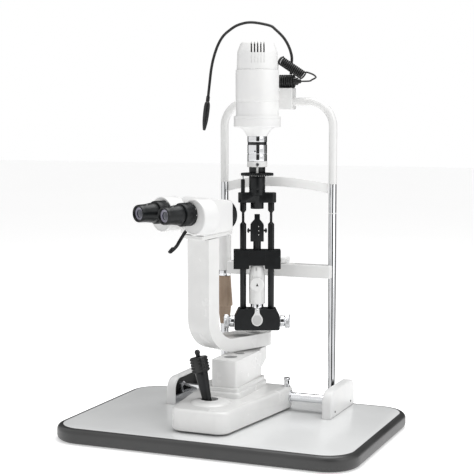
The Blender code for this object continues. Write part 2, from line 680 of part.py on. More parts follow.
def pillars_and_blocks(tilt):
    top, bottom = 0.4278, 0.2088
    for side, name in ((-1, "left"), (1, "right")):
        turned(
            f"pillar_{name}",
            [
                (0.0, up(top)), (PILLAR_R, up(top)), (PILLAR_R, up(0.4115)), (0.0027, up(0.4070)), (0.0027, up(0.3880)),
                (PILLAR_R, up(0.3835)), (PILLAR_R, up(bottom)), (0.0, up(bottom)),
            ],
            BLACK, tilt, (side * PILLAR_X, 0, 0), steps=20,
        )
    mid_top, mid_bottom, notch = up(0.3304), up(0.2918), up(0.2990)
    outline = rounded(
        [
            (-0.0485, mid_bottom, 0.001), (-0.0162, mid_bottom, 0.001), (-0.0162, notch, 0.001), (0.0162, notch, 0.001),
            (0.0162, mid_bottom, 0.001), (0.0485, mid_bottom, 0.001), (0.0485, mid_top, 0.001), (-0.0485, mid_top, 0.001),
        ],
        1,
    )
    middle = slab("tower_middle_block", [outline], 0.034, BLACK, tilt, (0, 0, 0), (math.pi / 2, 0, 0))
    for x in (-PILLAR_X, PILLAR_X):
        middle = combine(middle, rod("tool", PILLAR_R + GAP, 0.100, BLACK, tilt, (x, 0, mid_top), sides=20))
    combine(middle, rod("tool", 0.0083, 0.100, BLACK, tilt, (0, 0, mid_top), sides=20))

    turned(
        "centring_column",
        [
            (0.0, up(0.2985)), (0.0122, up(0.2985)), (0.0135, up(0.2935)), (0.0168, up(0.2770)), (0.0168, up(0.2190)),
            (0.0130, up(0.2185)), (0.0130, up(0.2088)), (0.0, up(0.2088)),
        ],
        WHITE, tilt, steps=22,
    )
    knob = pivot("centring_knob_axis", tilt, (0, 0, up(0.2602)))
    turned(
        "centring_knob", [(0.0, 0.0235), (0.0135, 0.0235), (0.0147, 0.0222), (0.0147, 0.0175), (0.0, 0.0175)],
        WHITE, knob, rotation=OUTWARD, steps=20,
    )

    bridge = slab(
        "light_tube", [rounded(rectangle(-0.0391, -0.0130, 0.0391, 0.0130, 0.009), 4)],
        0.0205, BLACK, tilt, (0, 0, up(0.43835)),
    )
    barrel = turned(
        "tool",
        [
            (0.0, up(0.5008)), (0.0166, up(0.5008)), (0.0166, up(0.4890)), (0.0150, up(0.4890)), (0.0150, up(0.4828)),
            (0.0166, up(0.4828)), (0.0166, up(0.4440)), (0.0135, up(0.4430)), (0.0135, up(0.4154)),
            (0.0108, up(0.4154)), (0.0108, up(0.4214)), (0.0, up(0.4214)),
        ],
        BLACK, tilt, steps=22,
    )
    bridge = combine(bridge, barrel, "UNION")
    latch = turned(
        "tool",
        [
            (0.0, up(0.4822)), (0.0016, up(0.4822)), (0.0016, up(0.4760)), (0.0042, up(0.4755)), (0.0042, up(0.4400)),
            (0.0, up(0.4400)),
        ],
        BLACK, tilt, (-PILLAR_X - 0.0005, 0, 0), steps=16,
    )
    combine(bridge, latch, "UNION")
    slab(
        "aperture_disc", [gear_outline(0.0336, 24, 0.0022), circle(0.0153, 28)], 0.0055, BLACK, tilt,
        (0, 0, up(0.48595)),
    )


def mirror(tilt):
    """The mirror head stands on a stem that swivels in the middle block."""
    outline = rounded(
        [
            (-0.0137, up(0.3480), 0.001), (0.0137, up(0.3480), 0.001), (0.0137, up(0.3830), 0.004),
            (0.0056, up(0.3932), 0.002), (0.0056, up(0.4045), 0.001), (-0.0056, up(0.4045), 0.001),
            (-0.0056, up(0.3932), 0.002), (-0.0137, up(0.3830), 0.004),
        ],
        2,
    )
    head = slab("mirror_head", [outline], 0.020, BLACK, tilt, (0, 0, 0), (math.pi / 2, 0, 0))
    # the narrow top is cut at 45 degrees on the patient's side, and the mirror lies on that slope
    slope_y, slope_h = -0.0022, up(0.3988)
    normal = Vector((0.0, 1.0, 1.0)).normalized()
    tilt_back = (math.radians(-45), 0, 0)
    deep, thick = 0.030, 0.0012
    cut_middle = Vector((0, slope_y, slope_h)) + normal * deep / 2
    head = combine(head, block("tool", (0.060, 0.060, deep), BLACK, tilt, cut_middle, tilt_back))
    stem = rod("tool", 0.0080, 0.0450, BLACK, tilt, (0, 0, up(0.3275)), sides=20)
    combine(head, stem, "UNION")
    seat = Vector((0, slope_y, slope_h)) + normal * (thick / 2 + GAP)
    block("mirror_glass", (0.0108, 0.0140, thick), MIRROR, tilt, seat, tilt_back)
    for side in (-1, 1):
        screw = turned(
            "tool",
            [
                (0.0, 0.0065), (0.0042, 0.0065), (0.0050, 0.0055), (0.0050, 0.0030), (0.0022, 0.0025), (0.0022, -0.002),
                (0.0, -0.002),
            ],
            BLACK, tilt, (side * 0.0137, -0.004, up(0.3705)), (0, side * math.pi / 2, 0), steps=16,
        )
        combine(head, screw, "UNION")


def lamp(tilt):
    """The slit barrel and the lamp housing above it turn together about the tower's axis."""
    turned(
        "slit_ring",
        [
            (0.0, up(0.5130)), (0.0203, up(0.5130)), (0.0206, up(0.5120)), (0.0206, up(0.5022)), (0.0203, up(0.5011)),
            (0.0, up(0.5011)),
        ],
        WHITE, tilt, steps=18,
    )
    turned(
        "scale_barrel",
        [
            (0.0, up(0.5638)), (0.0201, up(0.5638)), (0.0201, up(0.5525)), (0.0192, up(0.5525)), (0.0192, up(0.5463)),
            (0.0201, up(0.5463)), (0.0201, up(0.5290)), (0.0196, up(0.5286)), (0.0196, up(0.5270)), (0.0201, up(0.5266)),
            (0.0201, up(0.5133)), (0.0, up(0.5133)),
        ],
        CHROME, tilt, steps=18,
    )
    turned(
        "lamp_housing",
        [
            (0.0, up(0.6985)), (0.0438, up(0.6985)), (0.0442, up(0.6980)), (0.0442, up(0.6390)), (0.0436, up(0.6385)),
            (0.0436, up(0.6053)), (0.0478, up(0.6053)), (0.0481, up(0.6043)), (0.0481, up(0.6000)), (0.0476, up(0.5994)),
            (0.0481, up(0.5988)), (0.0481, up(0.5840)), (0.0472, up(0.5826)), (0.0354, up(0.5815)), (0.0285, up(0.5760)),
            (0.0236, up(0.5700)), (0.0211, up(0.5641)), (0.0, up(0.5641)),
        ],
        WHITE, tilt, steps=28,
    )
    cap = turned(
        "lamp_cap",
        [
            (0.0, up(0.7539)), (0.0325, up(0.7539)), (0.0340, up(0.7530)), (0.0398, up(0.7375)), (0.0408, up(0.7330)),
            (0.0419, up(0.7010)), (0.0415, up(0.6988)), (0.0390, up(0.6988)), (0.0380, up(0.7300)), (0.0310, up(0.7500)),
            (0.0, up(0.7505)),
        ],
        WHITE, tilt, steps=20,
    )
    for slot in range(-2, 3):
        turn = math.radians(8.4 * slot)
        reach = 0.0390
        combine(
            cap,
            block(
                "tool", (0.0027, 0.020, 0.0330), WHITE, tilt,
                (reach * math.sin(turn), -reach * math.cos(turn), up(0.7420)), (0, 0, turn),
            ),
        )


# ---------------------------------------------------------------- head rest
def head_rest():
    for x, name in ((POLE_LEFT_X, "left"), (POLE_RIGHT_X, "right")):
        turned(
            f"pole_{name}",
            [
                (0.0, POLE_TOP_H), (POLE_R, POLE_TOP_H), (POLE_R, 0.0120), (0.0105, 0.0110), (0.0150, 0.0035),
                (0.0150, GAP), (0.0, GAP),
            ],
            CHROME, TABLE, (x, POLE_Y, 0), steps=18,
        )
    side_steps = 7
    path = [Vector((POLE_LEFT_X, POLE_Y, POLE_TOP_H + GAP))]
    bend = ARCH_BEND
    for centre_x, first in ((POLE_LEFT_X + bend, 180), (POLE_RIGHT_X - bend, 90)):
        for step in range(side_steps + 1):
            angle = math.radians(first - 90 * step / side_steps)
            path.append(
                Vector((centre_x + bend * math.cos(angle), POLE_Y, ARCH_TOP_H - bend + bend * math.sin(angle)))
            )
    path.append(Vector((POLE_RIGHT_X, POLE_Y, POLE_TOP_H + GAP)))
    tube("arch_tube", path, ARCH_R, WHITE, TABLE, 3)
    forehead_band()
    chin_rest()
    fixation_light()


def forehead_band():
    """A strap that bows towards the examiner and rises a little in the middle."""
    left, right = POLE_LEFT_X + POLE_R + 0.0022, POLE_RIGHT_X - POLE_R - 0.0022
    stations = 16
    bow, rise, low, tall = 0.030, 0.014, 0.4440, 0.0205
    bm = bmesh.new()
    columns = []
    for step in range(stations + 1):
        t = 2 * step / stations - 1
        x = left + (right - left) * step / stations
        y = POLE_Y - bow * (1 - t * t)
        h = low + rise * (1 - t * t)
        columns.append([bm.verts.new((x, y, h)), bm.verts.new((x, y, h + tall))])
    for (a, b), (c, d) in zip(columns, columns[1:]):
        bm.faces.new((a, c, d, b))
    band = add("forehead_band", mesh_from(bm, "forehead_band"), WHITE, TABLE)
    wall = band.modifiers.new("wall", "SOLIDIFY")
    wall.thickness = 0.0035
    wall.offset = 0.0
    smooth(band)


def chin_rest():
    frame = pivot("chin_rest_frame", TABLE, (0, 0, 0))
    middle_x = (POLE_LEFT_X + POLE_RIGHT_X) / 2
    sleeve_r, bar_y0, bar_y1 = 0.0139, POLE_Y - 0.0200, POLE_Y + 0.0060
    x0, x1 = POLE_LEFT_X + 0.0131, POLE_RIGHT_X + 0.0025
    bar = slab(
        "chin_bar", [rounded(rectangle(x0, bar_y0, x1, bar_y1, 0.003), 3)], CHIN_TOP_H - CHIN_BOTTOM_H, WHITE, frame,
        (0, 0, (CHIN_TOP_H + CHIN_BOTTOM_H) / 2),
    )
    sleeve = rod("tool", sleeve_r, 0.0755, WHITE, frame, (POLE_LEFT_X, POLE_Y, 0.30975), sides=22)
    bar = combine(bar, sleeve, "UNION")
    for x in (POLE_LEFT_X, POLE_RIGHT_X):
        combine(bar, rod("tool", POLE_R + GAP, 0.300, WHITE, frame, (x, POLE_Y, 0.300), sides=20))
    round_edges(bar, 0.0015, 1, 50)
    cup = slab(
        "chin_cup", [rounded(rectangle(-0.0270, -0.0180, 0.0270, 0.0180, 0.0150), 5)], 0.0130, WHITE, frame,
        (middle_x, POLE_Y - 0.0030, CHIN_TOP_H + 0.0065 + GAP), edge=0.0030,
    )
    dish = turned(
        "tool", [(0.0, 0.0070), (0.0230, 0.0070), (0.0200, 0.0020), (0.0120, -0.0010), (0.0, -0.0020)],
        WHITE, frame, (middle_x, POLE_Y + 0.0020, CHIN_TOP_H + 0.0090), steps=20,
    )
    combine(cup, dish)
    grip_axis = pivot("chin_grip_axis", TABLE, (POLE_LEFT_X, POLE_Y, 0))
    bore = POLE_R + GAP
    ribs = 14
    grip = grip_mesh(ribs, bore)
    add("chin_grip", grip, BROWN, grip_axis)


def grip_mesh(ribs, bore):
    """A ribbed sleeve: rings of alternating radius are joined from its top to its tapered foot, then down its bore."""
    levels = [
        (COLLAR_TOP_H, 0.0128), (GRIP_TOP_H, 0.0128), (0.2400, 0.0140), (0.2150, 0.0158), (0.1975, 0.0170),
        (GRIP_STEP_H, 0.0170), (0.1920, 0.0138), (0.1780, 0.0126), (GRIP_BOTTOM_H, 0.0100),
    ]
    bm = bmesh.new()
    rings = []
    for h, radius in levels:
        ring = []
        for step in range(ribs * 2):
            angle = math.pi * step / ribs
            reach = radius - (0.0009 if step % 2 else 0.0)
            ring.append(bm.verts.new((reach * math.cos(angle), reach * math.sin(angle), h)))
        rings.append(ring)
    round_bore = [(bore * math.cos(math.pi * s / ribs), bore * math.sin(math.pi * s / ribs)) for s in range(ribs * 2)]
    for h in (GRIP_BOTTOM_H, COLLAR_TOP_H):
        rings.append([bm.verts.new((x, y, h)) for x, y in round_bore])
    rings.append(rings[0])
    for upper, lower in zip(rings, rings[1:]):
        for step in range(ribs * 2):
            after = (step + 1) % (ribs * 2)
            bm.faces.new((upper[step], lower[step], lower[after], upper[after]))
    bmesh.ops.recalc_face_normals(bm, faces=bm.faces)
    return mesh_from(bm, "chin_grip")


# ---------------------------------------------------------------- fixation light
GOOSENECK = [
    (0.0462, 0.197, 0.6914), (0.0466, 0.197, 0.7080), (0.0480, 0.197, 0.7270), (0.0425, 0.196, 0.7470),
    (0.0310, 0.195, 0.7670), (0.0130, 0.193, 0.7850), (-0.0010, 0.192, 0.7940), (-0.0400, 0.188, 0.8010),
    (-0.0690, 0.185, 0.7960), (-0.0890, 0.182, 0.7840), (-0.1020, 0.180, 0.7720), (-0.1120, 0.177, 0.7540),
    (-0.1200, 0.175, 0.7310), (-0.1250, 0.172, 0.7050), (-0.1285, 0.170, 0.6720), (-0.1305, 0.168, 0.6480),
    (-0.1318, 0.167, 0.6350),
]
CORD_EXIT = (0.0688, 0.197, 0.6770)
COIL_FROM, COIL_TO = (0.0800, 0.180, 0.6880), (0.0300, 0.180, 0.7200)
COIL_R, CORD_R = 0.0100, 0.0019


def fixation_light():
    bracket = block(
        "fixation_bracket", (0.0325, 0.0270, 0.0450), WHITE, TABLE, (FIX_X, 0.1990, 0.6410), radius=0.0025,
    )
    combine(bracket, rod("tool", ARCH_R + GAP, 0.100, WHITE, TABLE, (FIX_X, POLE_Y, ARCH_TOP_H), ALONG_X, 24))
    combine(bracket, rod("tool", FIX_KNOB_R + GAP, 0.100, WHITE, TABLE, (FIX_X, POLE_Y, FIX_H), ALONG_X, 32))
    axis = pivot("fixation_axis", TABLE, (FIX_X, POLE_Y, FIX_H))
    radius, length = FIX_KNOB_R, 0.0340
    nose = length / 2 + 0.0150
    profile = [(0.0, nose), (0.0040, nose), (0.0055, nose - 0.0065), (0.0078, nose - 0.0075), (0.0078, length / 2)]
    profile += [(radius - 0.0012, length / 2)]
    grooves = 5
    pitch = length / grooves
    for groove in range(grooves):
        z = length / 2 - groove * pitch
        profile += [(radius, z - 0.15 * pitch), (radius, z - 0.70 * pitch)]
        profile += [(radius - 0.0012, z - 0.80 * pitch), (radius - 0.0012, z - pitch)]
    profile += [(0.0, -length / 2)]
    turned("fixation_knob", profile, RUBBER, axis, rotation=ALONG_X, steps=18)
    local = Vector((FIX_X, POLE_Y, FIX_H))
    neck = [Vector(p) - local for p in GOOSENECK]
    tube("gooseneck", spline_points(neck, 36), 0.0030, BLACK, axis, 2)
    tip = neck[-1]
    direction = (neck[-1] - neck[-2]).normalized()
    lean = Vector((0, 0, 1)).rotation_difference(-direction).to_euler()
    turned(
        "fixation_lamp",
        [
            (0.0, -GAP), (0.0042, -GAP), (0.0062, -0.0060), (0.0066, -0.0200), (0.0060, -0.0400), (0.0040, -0.0550),
            (0.0026, -0.0612), (0.0, -0.0620),
        ],
        BLACK, axis, tip, lean, steps=16,
    )
    out = [
        CORD_EXIT, (0.0800, 0.196, 0.6772), (0.0935, 0.192, 0.6790), (0.0985, 0.186, 0.6850), (0.0945, 0.181, 0.6900),
        (0.0870, 0.180, 0.6905),
    ]
    back = [
        (0.0235, 0.1800, 0.7210), (0.0170, 0.1830, 0.7170), (0.0150, 0.1900, 0.7030), (0.0160, 0.1960, 0.6920),
        (0.0164, 0.1970, 0.6820),
    ]
    tube("cord_out", spline_points([Vector(p) - local for p in out], 16), CORD_R, RUBBER, axis, 2)
    tube("cord_back", spline_points([Vector(p) - local for p in back], 12), CORD_R, RUBBER, axis, 2)
    tube("cord_coil", [Vector(COIL_FROM) - local, Vector(COIL_TO) - local], COIL_R, RUBBER, axis, 4)


table()
rails()
axle()
BASE = base()
joystick(BASE)
lift(BASE)
microscope_arm()
tower()
head_rest()
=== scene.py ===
# %% [markdown]
# # A slit lamp on its instrument table
#
# An eye clinic's slit lamp is a small microscope and a tall lamp tower that swing about one post.
# Both ride on a base that a joystick slides over the table, and a head rest holds the patient still.
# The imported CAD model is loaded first, because it says where every piece goes and what moves it.

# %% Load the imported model
import json
import math

import bmesh
import bpy
from mathutils import Matrix, Vector


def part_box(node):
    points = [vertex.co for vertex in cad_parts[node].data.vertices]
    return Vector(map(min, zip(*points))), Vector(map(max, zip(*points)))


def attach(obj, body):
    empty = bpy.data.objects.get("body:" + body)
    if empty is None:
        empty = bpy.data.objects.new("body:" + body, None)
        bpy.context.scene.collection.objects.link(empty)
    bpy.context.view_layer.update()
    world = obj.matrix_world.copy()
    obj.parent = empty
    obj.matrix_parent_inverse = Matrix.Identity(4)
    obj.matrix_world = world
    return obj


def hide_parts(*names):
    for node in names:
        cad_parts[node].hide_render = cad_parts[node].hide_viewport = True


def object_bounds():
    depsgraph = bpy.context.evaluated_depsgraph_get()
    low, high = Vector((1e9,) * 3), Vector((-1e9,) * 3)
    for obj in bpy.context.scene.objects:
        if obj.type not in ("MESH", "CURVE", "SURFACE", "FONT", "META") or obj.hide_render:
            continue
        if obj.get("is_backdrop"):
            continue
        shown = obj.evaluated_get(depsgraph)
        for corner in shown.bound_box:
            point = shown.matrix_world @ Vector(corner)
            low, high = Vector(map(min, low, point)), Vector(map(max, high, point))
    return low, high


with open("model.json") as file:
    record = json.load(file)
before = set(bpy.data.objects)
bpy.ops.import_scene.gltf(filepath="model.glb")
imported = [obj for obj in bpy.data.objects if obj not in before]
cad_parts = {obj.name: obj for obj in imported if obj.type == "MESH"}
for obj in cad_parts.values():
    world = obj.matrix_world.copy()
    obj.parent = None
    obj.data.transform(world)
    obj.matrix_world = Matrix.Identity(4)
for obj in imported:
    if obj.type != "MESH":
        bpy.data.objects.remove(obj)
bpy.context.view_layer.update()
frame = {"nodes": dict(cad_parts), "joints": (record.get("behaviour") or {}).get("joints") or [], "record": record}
BODY_OF = {node: body for body, nodes in frame["record"]["behaviour"]["bodies"].items() for node in nodes}
JOINT = {joint["name"]: joint for joint in frame["joints"]}

# %% [markdown]
# ## Frames to build in
#
# Heights are easiest to think of from the table's top, so each frame below starts there.
# The microscope and the tower are turned about the post, and the joints tell by how much:
# one joint of each lies straight across its arm.

# %% Frames
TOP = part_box("table_top")[1].z
UPRIGHT = Matrix.Rotation(math.pi / 2, 4, "X")  # turns a piece's own Z away from the post, and its Y up
ALONG_X = Matrix.Rotation(math.pi / 2, 4, "Y")
ALONG_ARM = Matrix.Rotation(-math.pi / 2, 4, "Z") @ UPRIGHT  # its X points out along the arm, its Y up


def standing(x, y, turn=0.0):
    return Matrix.Translation((x, y, TOP)) @ Matrix.Rotation(turn, 4, "Z")


def shift(x, y, z):
    return Matrix.Translation((x, y, z))


def turn_across(joint):
    axis = JOINT[joint]["axis"]
    return math.atan2(axis[1], axis[0])


post = JOINT["microscope_swing"]["pos_m"]
tower_axis = JOINT["tower_tilt"]["pos_m"]
TABLE = standing(0, 0)
BASE = standing(post[0], 0)
MICROSCOPE = standing(post[0], post[1], turn_across("magnification_turn"))
TOWER = standing(tower_axis[0], tower_axis[1], turn_across("tower_tilt"))
print("microscope turned", round(math.degrees(turn_across("magnification_turn")), 1), "degrees")

# %% [markdown]
# ## The camera
#
# A long lens from a little above table height keeps the upright lines nearly parallel.
# It stands to the examiner's right, so the microscope shows its side and the lamp tower its front.

# %% Camera
camera_data = bpy.data.cameras.new("camera")
camera_data.lens = 95.8
camera_data.sensor_width = 36.0
camera = bpy.data.objects.new("camera", camera_data)
camera.location = (0.9649, -2.3066, 0.645)
camera.rotation_euler = (math.radians(84.30), 0.0, math.radians(22.58))
bpy.context.scene.collection.objects.link(camera)
bpy.context.scene.camera = camera
print("camera", tuple(round(v, 2) for v in camera.location))

# %% [markdown]
# ## Finishes
#
# Every finish is a Principled shader with a little unevenness: paint has orange peel, moulded plastic
# has a fine spark texture and drawn metal has lines along it. Two small helpers are enough. One turns a
# hex colour to the linear values that the renderer works in, and the other adds a node with its links.

# %% Colour and node helpers
def linear(colour):
    channels = [int(colour[i : i + 2], 16) / 255 for i in (1, 3, 5)]
    return (*[c / 12.92 if c <= 0.04045 else ((c + 0.055) / 1.055) ** 2.4 for c in channels], 1.0)


def add_node(material, kind, inputs, **settings):
    """Adds a node. An input given as another node's output is linked, and anything else is its value."""
    tree = material.node_tree
    node = tree.nodes.new(kind)
    for name, value in settings.items():
        setattr(node, name, value)
    for name, value in inputs.items():
        if isinstance(value, bpy.types.NodeSocket):
            tree.links.new(value, node.inputs[name])
        else:
            node.inputs[name].default_value = value
    return node


print("white enamel is", [round(v, 3) for v in linear("#EDEDEC")[:3]])

# %% [markdown]
# One recipe serves all the finishes. A broad noise lets the colour drift between two near tones and the
# gloss between two values. A fine noise becomes the bump, at the size in millimetres that the real
# surface has. Stretching the fine noise along one axis turns it into brushing or turning lines.

# %% The surface recipe
def surface(name, tones, gloss, grain_mm, bump_mm, drift_mm=40.0, stretch=(1, 1, 1), **shader_values):
    """tones: two hex colours. gloss: the lowest and highest roughness."""
    material = bpy.data.materials.new(name)
    material.use_nodes = True
    tree = material.node_tree
    shader = tree.nodes["Principled BSDF"]
    for socket, value in shader_values.items():
        shader.inputs[socket.replace("_", " ")].default_value = value
    place = add_node(material, "ShaderNodeTexCoord", {}).outputs["Object"]
    centred = add_node(material, "ShaderNodeMapping", {"Vector": place, "Location": (0, 0, -0.4)})
    drift = add_node(
        material, "ShaderNodeTexNoise",
        {"Vector": centred.outputs[0], "Scale": 1000 / drift_mm, "Detail": 3.0},
    )
    tone = add_node(material, "ShaderNodeValToRGB", {"Fac": drift.outputs["Fac"]})
    tone.color_ramp.elements[0].position = 0.35
    tone.color_ramp.elements[0].color = linear(tones[0])
    tone.color_ramp.elements[1].position = 0.65
    tone.color_ramp.elements[1].color = linear(tones[1])
    polish = add_node(
        material, "ShaderNodeMapRange",
        {"Value": drift.outputs["Fac"], "To Min": gloss[0], "To Max": gloss[1]},
    )
    drawn = add_node(material, "ShaderNodeMapping", {"Vector": place, "Scale": stretch})
    grain = add_node(
        material, "ShaderNodeTexNoise", {"Vector": drawn.outputs[0], "Scale": 1000 / grain_mm, "Detail": 2.0}
    )
    bump = add_node(
        material, "ShaderNodeBump",
        {"Height": grain.outputs["Fac"], "Distance": bump_mm / 1000, "Strength": 0.6},
    )
    tree.links.new(tone.outputs["Color"], shader.inputs["Base Color"])
    tree.links.new(polish.outputs["Result"], shader.inputs["Roughness"])
    tree.links.new(bump.outputs["Normal"], shader.inputs["Normal"])
    return material


# %% White paint, plastic and laminate
# Baked enamel on the castings: glossy, with orange peel about 2 mm from crest to crest.
ENAMEL = surface("white_baked_enamel", ("#E9E9E8", "#EEEEED"), (0.22, 0.30), 2.0, 0.012, Coat_Weight=0.25)
# Moulded ABS covers: a softer sheen and a finer texture than the paint.
ABS = surface("white_moulded_abs", ("#ECECEC", "#F0F0EF"), (0.30, 0.38), 0.8, 0.006)
# Melamine laminate on the table: smooth, wide soft reflections.
LAMINATE = surface(
    "white_melamine_laminate", ("#E7E8E8", "#EBECEC"), (0.20, 0.28), 3.0, 0.010, drift_mm=150.0,
)
# Strap and chin cup: satin polypropylene that wipes clean.
SATIN = surface("white_satin_polypropylene", ("#EFEFEE", "#F3F3F2"), (0.38, 0.46), 0.6, 0.008)
print("white finishes made")

# %% Black, brown and grey finishes
# Black anodising keeps the metal's fine grain, so the highlights are soft and slightly blue.
ANODISED = surface(
    "black_anodised_aluminium", ("#0B0D0F", "#121517"), (0.30, 0.40), 0.5, 0.006, drift_mm=12.0, Metallic=0.35
)
# Moulded black plastic: button, fixation knob and lamp.
BLACK_PLASTIC = surface("black_moulded_plastic", ("#0E0F10", "#15171A"), (0.28, 0.36), 0.7, 0.008)
# Rubber: matt, with a grain that scatters the light.
RUBBER = surface("black_moulded_rubber", ("#0A0B0B", "#121313"), (0.36, 0.46), 0.6, 0.014)
# The chin-rest grip: brown phenolic plastic.
PHENOLIC = surface("brown_phenolic_plastic", ("#9C8774", "#AC9783"), (0.34, 0.44), 0.8, 0.012)
# The table's edging: grey PVC, extruded and glued round.
EDGING = surface("grey_pvc_edging", ("#343434", "#3C3C3C"), (0.34, 0.42), 1.5, 0.010, drift_mm=120.0)
# Stippled grey paint on the lift block's caps, and a paler enamel on the arm's disc and the tilt latch.
GREY_PAINT = surface("grey_stippled_paint", ("#7F8080", "#909191"), (0.45, 0.55), 1.0, 0.030)
LIGHT_GREY = surface("pale_grey_enamel", ("#CBCBCA", "#D0D0CF"), (0.30, 0.38), 2.0, 0.010)
# White filling of engraved marks. The black is the own colour of the screws and the pointer, and painted shade in
# the black sheets inside the rail covers' hollows and the lamp cap.
MARK_WHITE = surface("white_engraving_fill", ("#E4E4E2", "#EDEDEB"), (0.50, 0.60), 1.0, 0.010)
BLACK_FILL_AND_PAINTED_SHADE = surface("black_fill_and_painted_shade", ("#08090A", "#0E0F10"), (0.60, 0.75), 1.0, 0.010)
print("dark finishes made")

# %% Metals and glass
# Bright chrome on the poles, the sleeve, the scale barrel and the knobs.
CHROME = surface("polished_chrome", ("#D6D7D9", "#E2E3E5"), (0.04, 0.10), 6.0, 0.002, Metallic=1.0)
# Turned steel: fine lines round the axle, the pinions and the screws.
STEEL = surface(
    "turned_steel", ("#A9AAAC", "#B9BABC"), (0.18, 0.30), 0.4, 0.010, stretch=(6, 1, 1), Metallic=1.0,
)
# Coated lens glass looks dark navy from outside, under a very smooth reflection.
LENS = surface("coated_lens_glass", ("#0B1024", "#141A34"), (0.02, 0.04), 8.0, 0.001, Coat_Weight=1.0)
# The grey-violet ring seen through an eyepiece's edge: its colour is a painted reflection on the lens mount.
LENS_MOUNT_PAINTED_REFLECTION = surface(
    "lens_mount_painted_reflection", ("#6E6C7C", "#827F90"), (0.15, 0.22), 3.0, 0.002, Coat_Weight=0.5,
)
MIRROR = surface("front_silvered_mirror", ("#E6E8EA", "#F0F1F2"), (0.01, 0.03), 9.0, 0.0005, Metallic=1.0)
print(len(bpy.data.materials), "materials in the file")

# %% [markdown]
# ## Shaping helpers
#
# Most of an instrument is either turned on a lathe or cut from plate, so two helpers carry the work.
# `turned` spins a half profile round its own Z axis. `plate` draws an outline, rounds each corner by its
# own radius with a vertex bevel, and extrudes it. Both then round their sharp edges, because a real edge
# is never knife-sharp and the thin highlight on it makes the piece look solid.

# %% Turning
def soften(bm, edges, width, steps=2):
    if edges and width:
        bmesh.ops.bevel(
            bm, geom=edges, affect="EDGES", offset=width, offset_type="OFFSET", segments=steps, profile=0.5,
            material=-1, clamp_overlap=True,
        )


def turned(profile, edge=0.0003, steps=72, ring=False):
    """Spins (radius, z) points round Z. A ring's profile closes on itself round its bore."""
    bm = bmesh.new()
    verts = [bm.verts.new((radius, 0.0, z)) for radius, z in profile]
    pairs = zip(verts, verts[1:] + verts[:1]) if ring else zip(verts, verts[1:])
    edges = [bm.edges.new(pair) for pair in pairs]
    bmesh.ops.spin(
        bm, geom=verts + edges, cent=(0, 0, 0), axis=(0, 0, 1), angle=2 * math.pi, steps=steps, use_merge=True
    )
    bmesh.ops.remove_doubles(bm, verts=bm.verts, dist=1e-6)
    rings = [
        e for e in bm.edges
        if len(e.link_faces) == 2 and e.calc_face_angle() > math.radians(28)
        and abs(e.verts[0].co.z - e.verts[1].co.z) < 1e-7 and e.verts[0].co.xy.length > 1e-5
    ]
    soften(bm, rings, edge)
    return bm


def rod(radius, low, high, edge=0.0003, steps=48):
    return turned([(0.0, high), (radius, high), (radius, low), (0.0, low)], edge, steps)


print("a 10 mm rod has", len(rod(0.005, 0, 0.01).faces), "faces")

# %% Plates
def plate(corners, thickness, rim=0.0, arc=10, rim_steps=3):
    """Extrudes an outline of (x, y, radius) corners to a plate centred on its own XY plane."""
    bm = bmesh.new()
    verts = [bm.verts.new((x, y, -thickness / 2)) for x, y, _ in corners]
    places = [vert.co.copy() for vert in verts]
    bm.faces.new(verts)
    for i, (vert, corner) in enumerate(zip(verts, corners)):
        if corner[2]:
            back = places[i - 1] - places[i]
            ahead = places[(i + 1) % len(places)] - places[i]
            reach = corner[2] / math.tan(back.angle(ahead) / 2)
            bmesh.ops.bevel(
                bm, geom=[vert], affect="VERTICES", offset=reach, offset_type="OFFSET", segments=arc,
                profile=0.5, material=-1, clamp_overlap=False,
            )
    made = bmesh.ops.extrude_face_region(bm, geom=bm.faces[:])["geom"]
    raised = [item for item in made if isinstance(item, bmesh.types.BMVert)]
    bmesh.ops.translate(bm, verts=raised, vec=(0, 0, thickness))
    bmesh.ops.recalc_face_normals(bm, faces=bm.faces)
    rims = [e for e in bm.edges if abs(e.verts[0].co.z - e.verts[1].co.z) < 1e-7]
    soften(bm, rims, rim, rim_steps)
    return bm


def box_corners(x0, y0, x1, y1, radius):
    return [(x0, y0, radius), (x1, y0, radius), (x1, y1, radius), (x0, y1, radius)]


print("a rounded plate has", len(plate(box_corners(0, 0, 0.1, 0.1, 0.01), 0.01, 0.002).faces), "faces")

# %% [markdown]
# `make` turns a bmesh into a piece whose place is in its mesh, so the object itself stays at the origin.
# `carve` cuts or joins solids exactly and keeps only the result. `stands_for` hides the plain CAD nodes
# that a piece replaces, and makes it ride on the same moving body; `sits_on` is for an added detail.

# %% Making and placing pieces
def make(name, bm, finish, where=TABLE, sharp=35):
    bmesh.ops.transform(bm, matrix=where, verts=bm.verts)
    bmesh.ops.remove_doubles(bm, verts=bm.verts, dist=1e-6)
    bmesh.ops.recalc_face_normals(bm, faces=bm.faces)
    mesh = bpy.data.meshes.new(name)
    bm.to_mesh(mesh)
    bm.free()
    mesh.shade_smooth()
    mesh.set_sharp_from_angle(angle=math.radians(sharp))
    mesh.materials.append(finish)
    piece = bpy.data.objects.new(name, mesh)
    bpy.context.scene.collection.objects.link(piece)
    return piece


def carve(piece, bm, where=TABLE, operation="DIFFERENCE"):
    tool = make("tool", bm, piece.data.materials[0], where)
    boolean = piece.modifiers.new("carve", "BOOLEAN")
    boolean.operation = operation
    boolean.solver = "EXACT"
    boolean.object = tool
    bpy.context.view_layer.update()
    shaped = bpy.data.meshes.new_from_object(piece.evaluated_get(bpy.context.evaluated_depsgraph_get()))
    piece.modifiers.clear()
    piece.data = shaped
    bpy.data.objects.remove(tool, do_unlink=True)
    shaped.shade_smooth()
    shaped.set_sharp_from_angle(angle=math.radians(35))
    return piece


def round_off(piece, width, steps=3, angle=40):
    bevel = piece.modifiers.new("round", "BEVEL")
    bevel.width = width
    bevel.segments = steps
    bevel.limit_method = "ANGLE"
    bevel.angle_limit = math.radians(angle)
    bevel.harden_normals = True
    return piece


def stands_for(piece, *nodes):
    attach(piece, BODY_OF[nodes[0]])
    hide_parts(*nodes)
    return piece


def sits_on(piece, node):
    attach(piece, BODY_OF[node])
    return piece


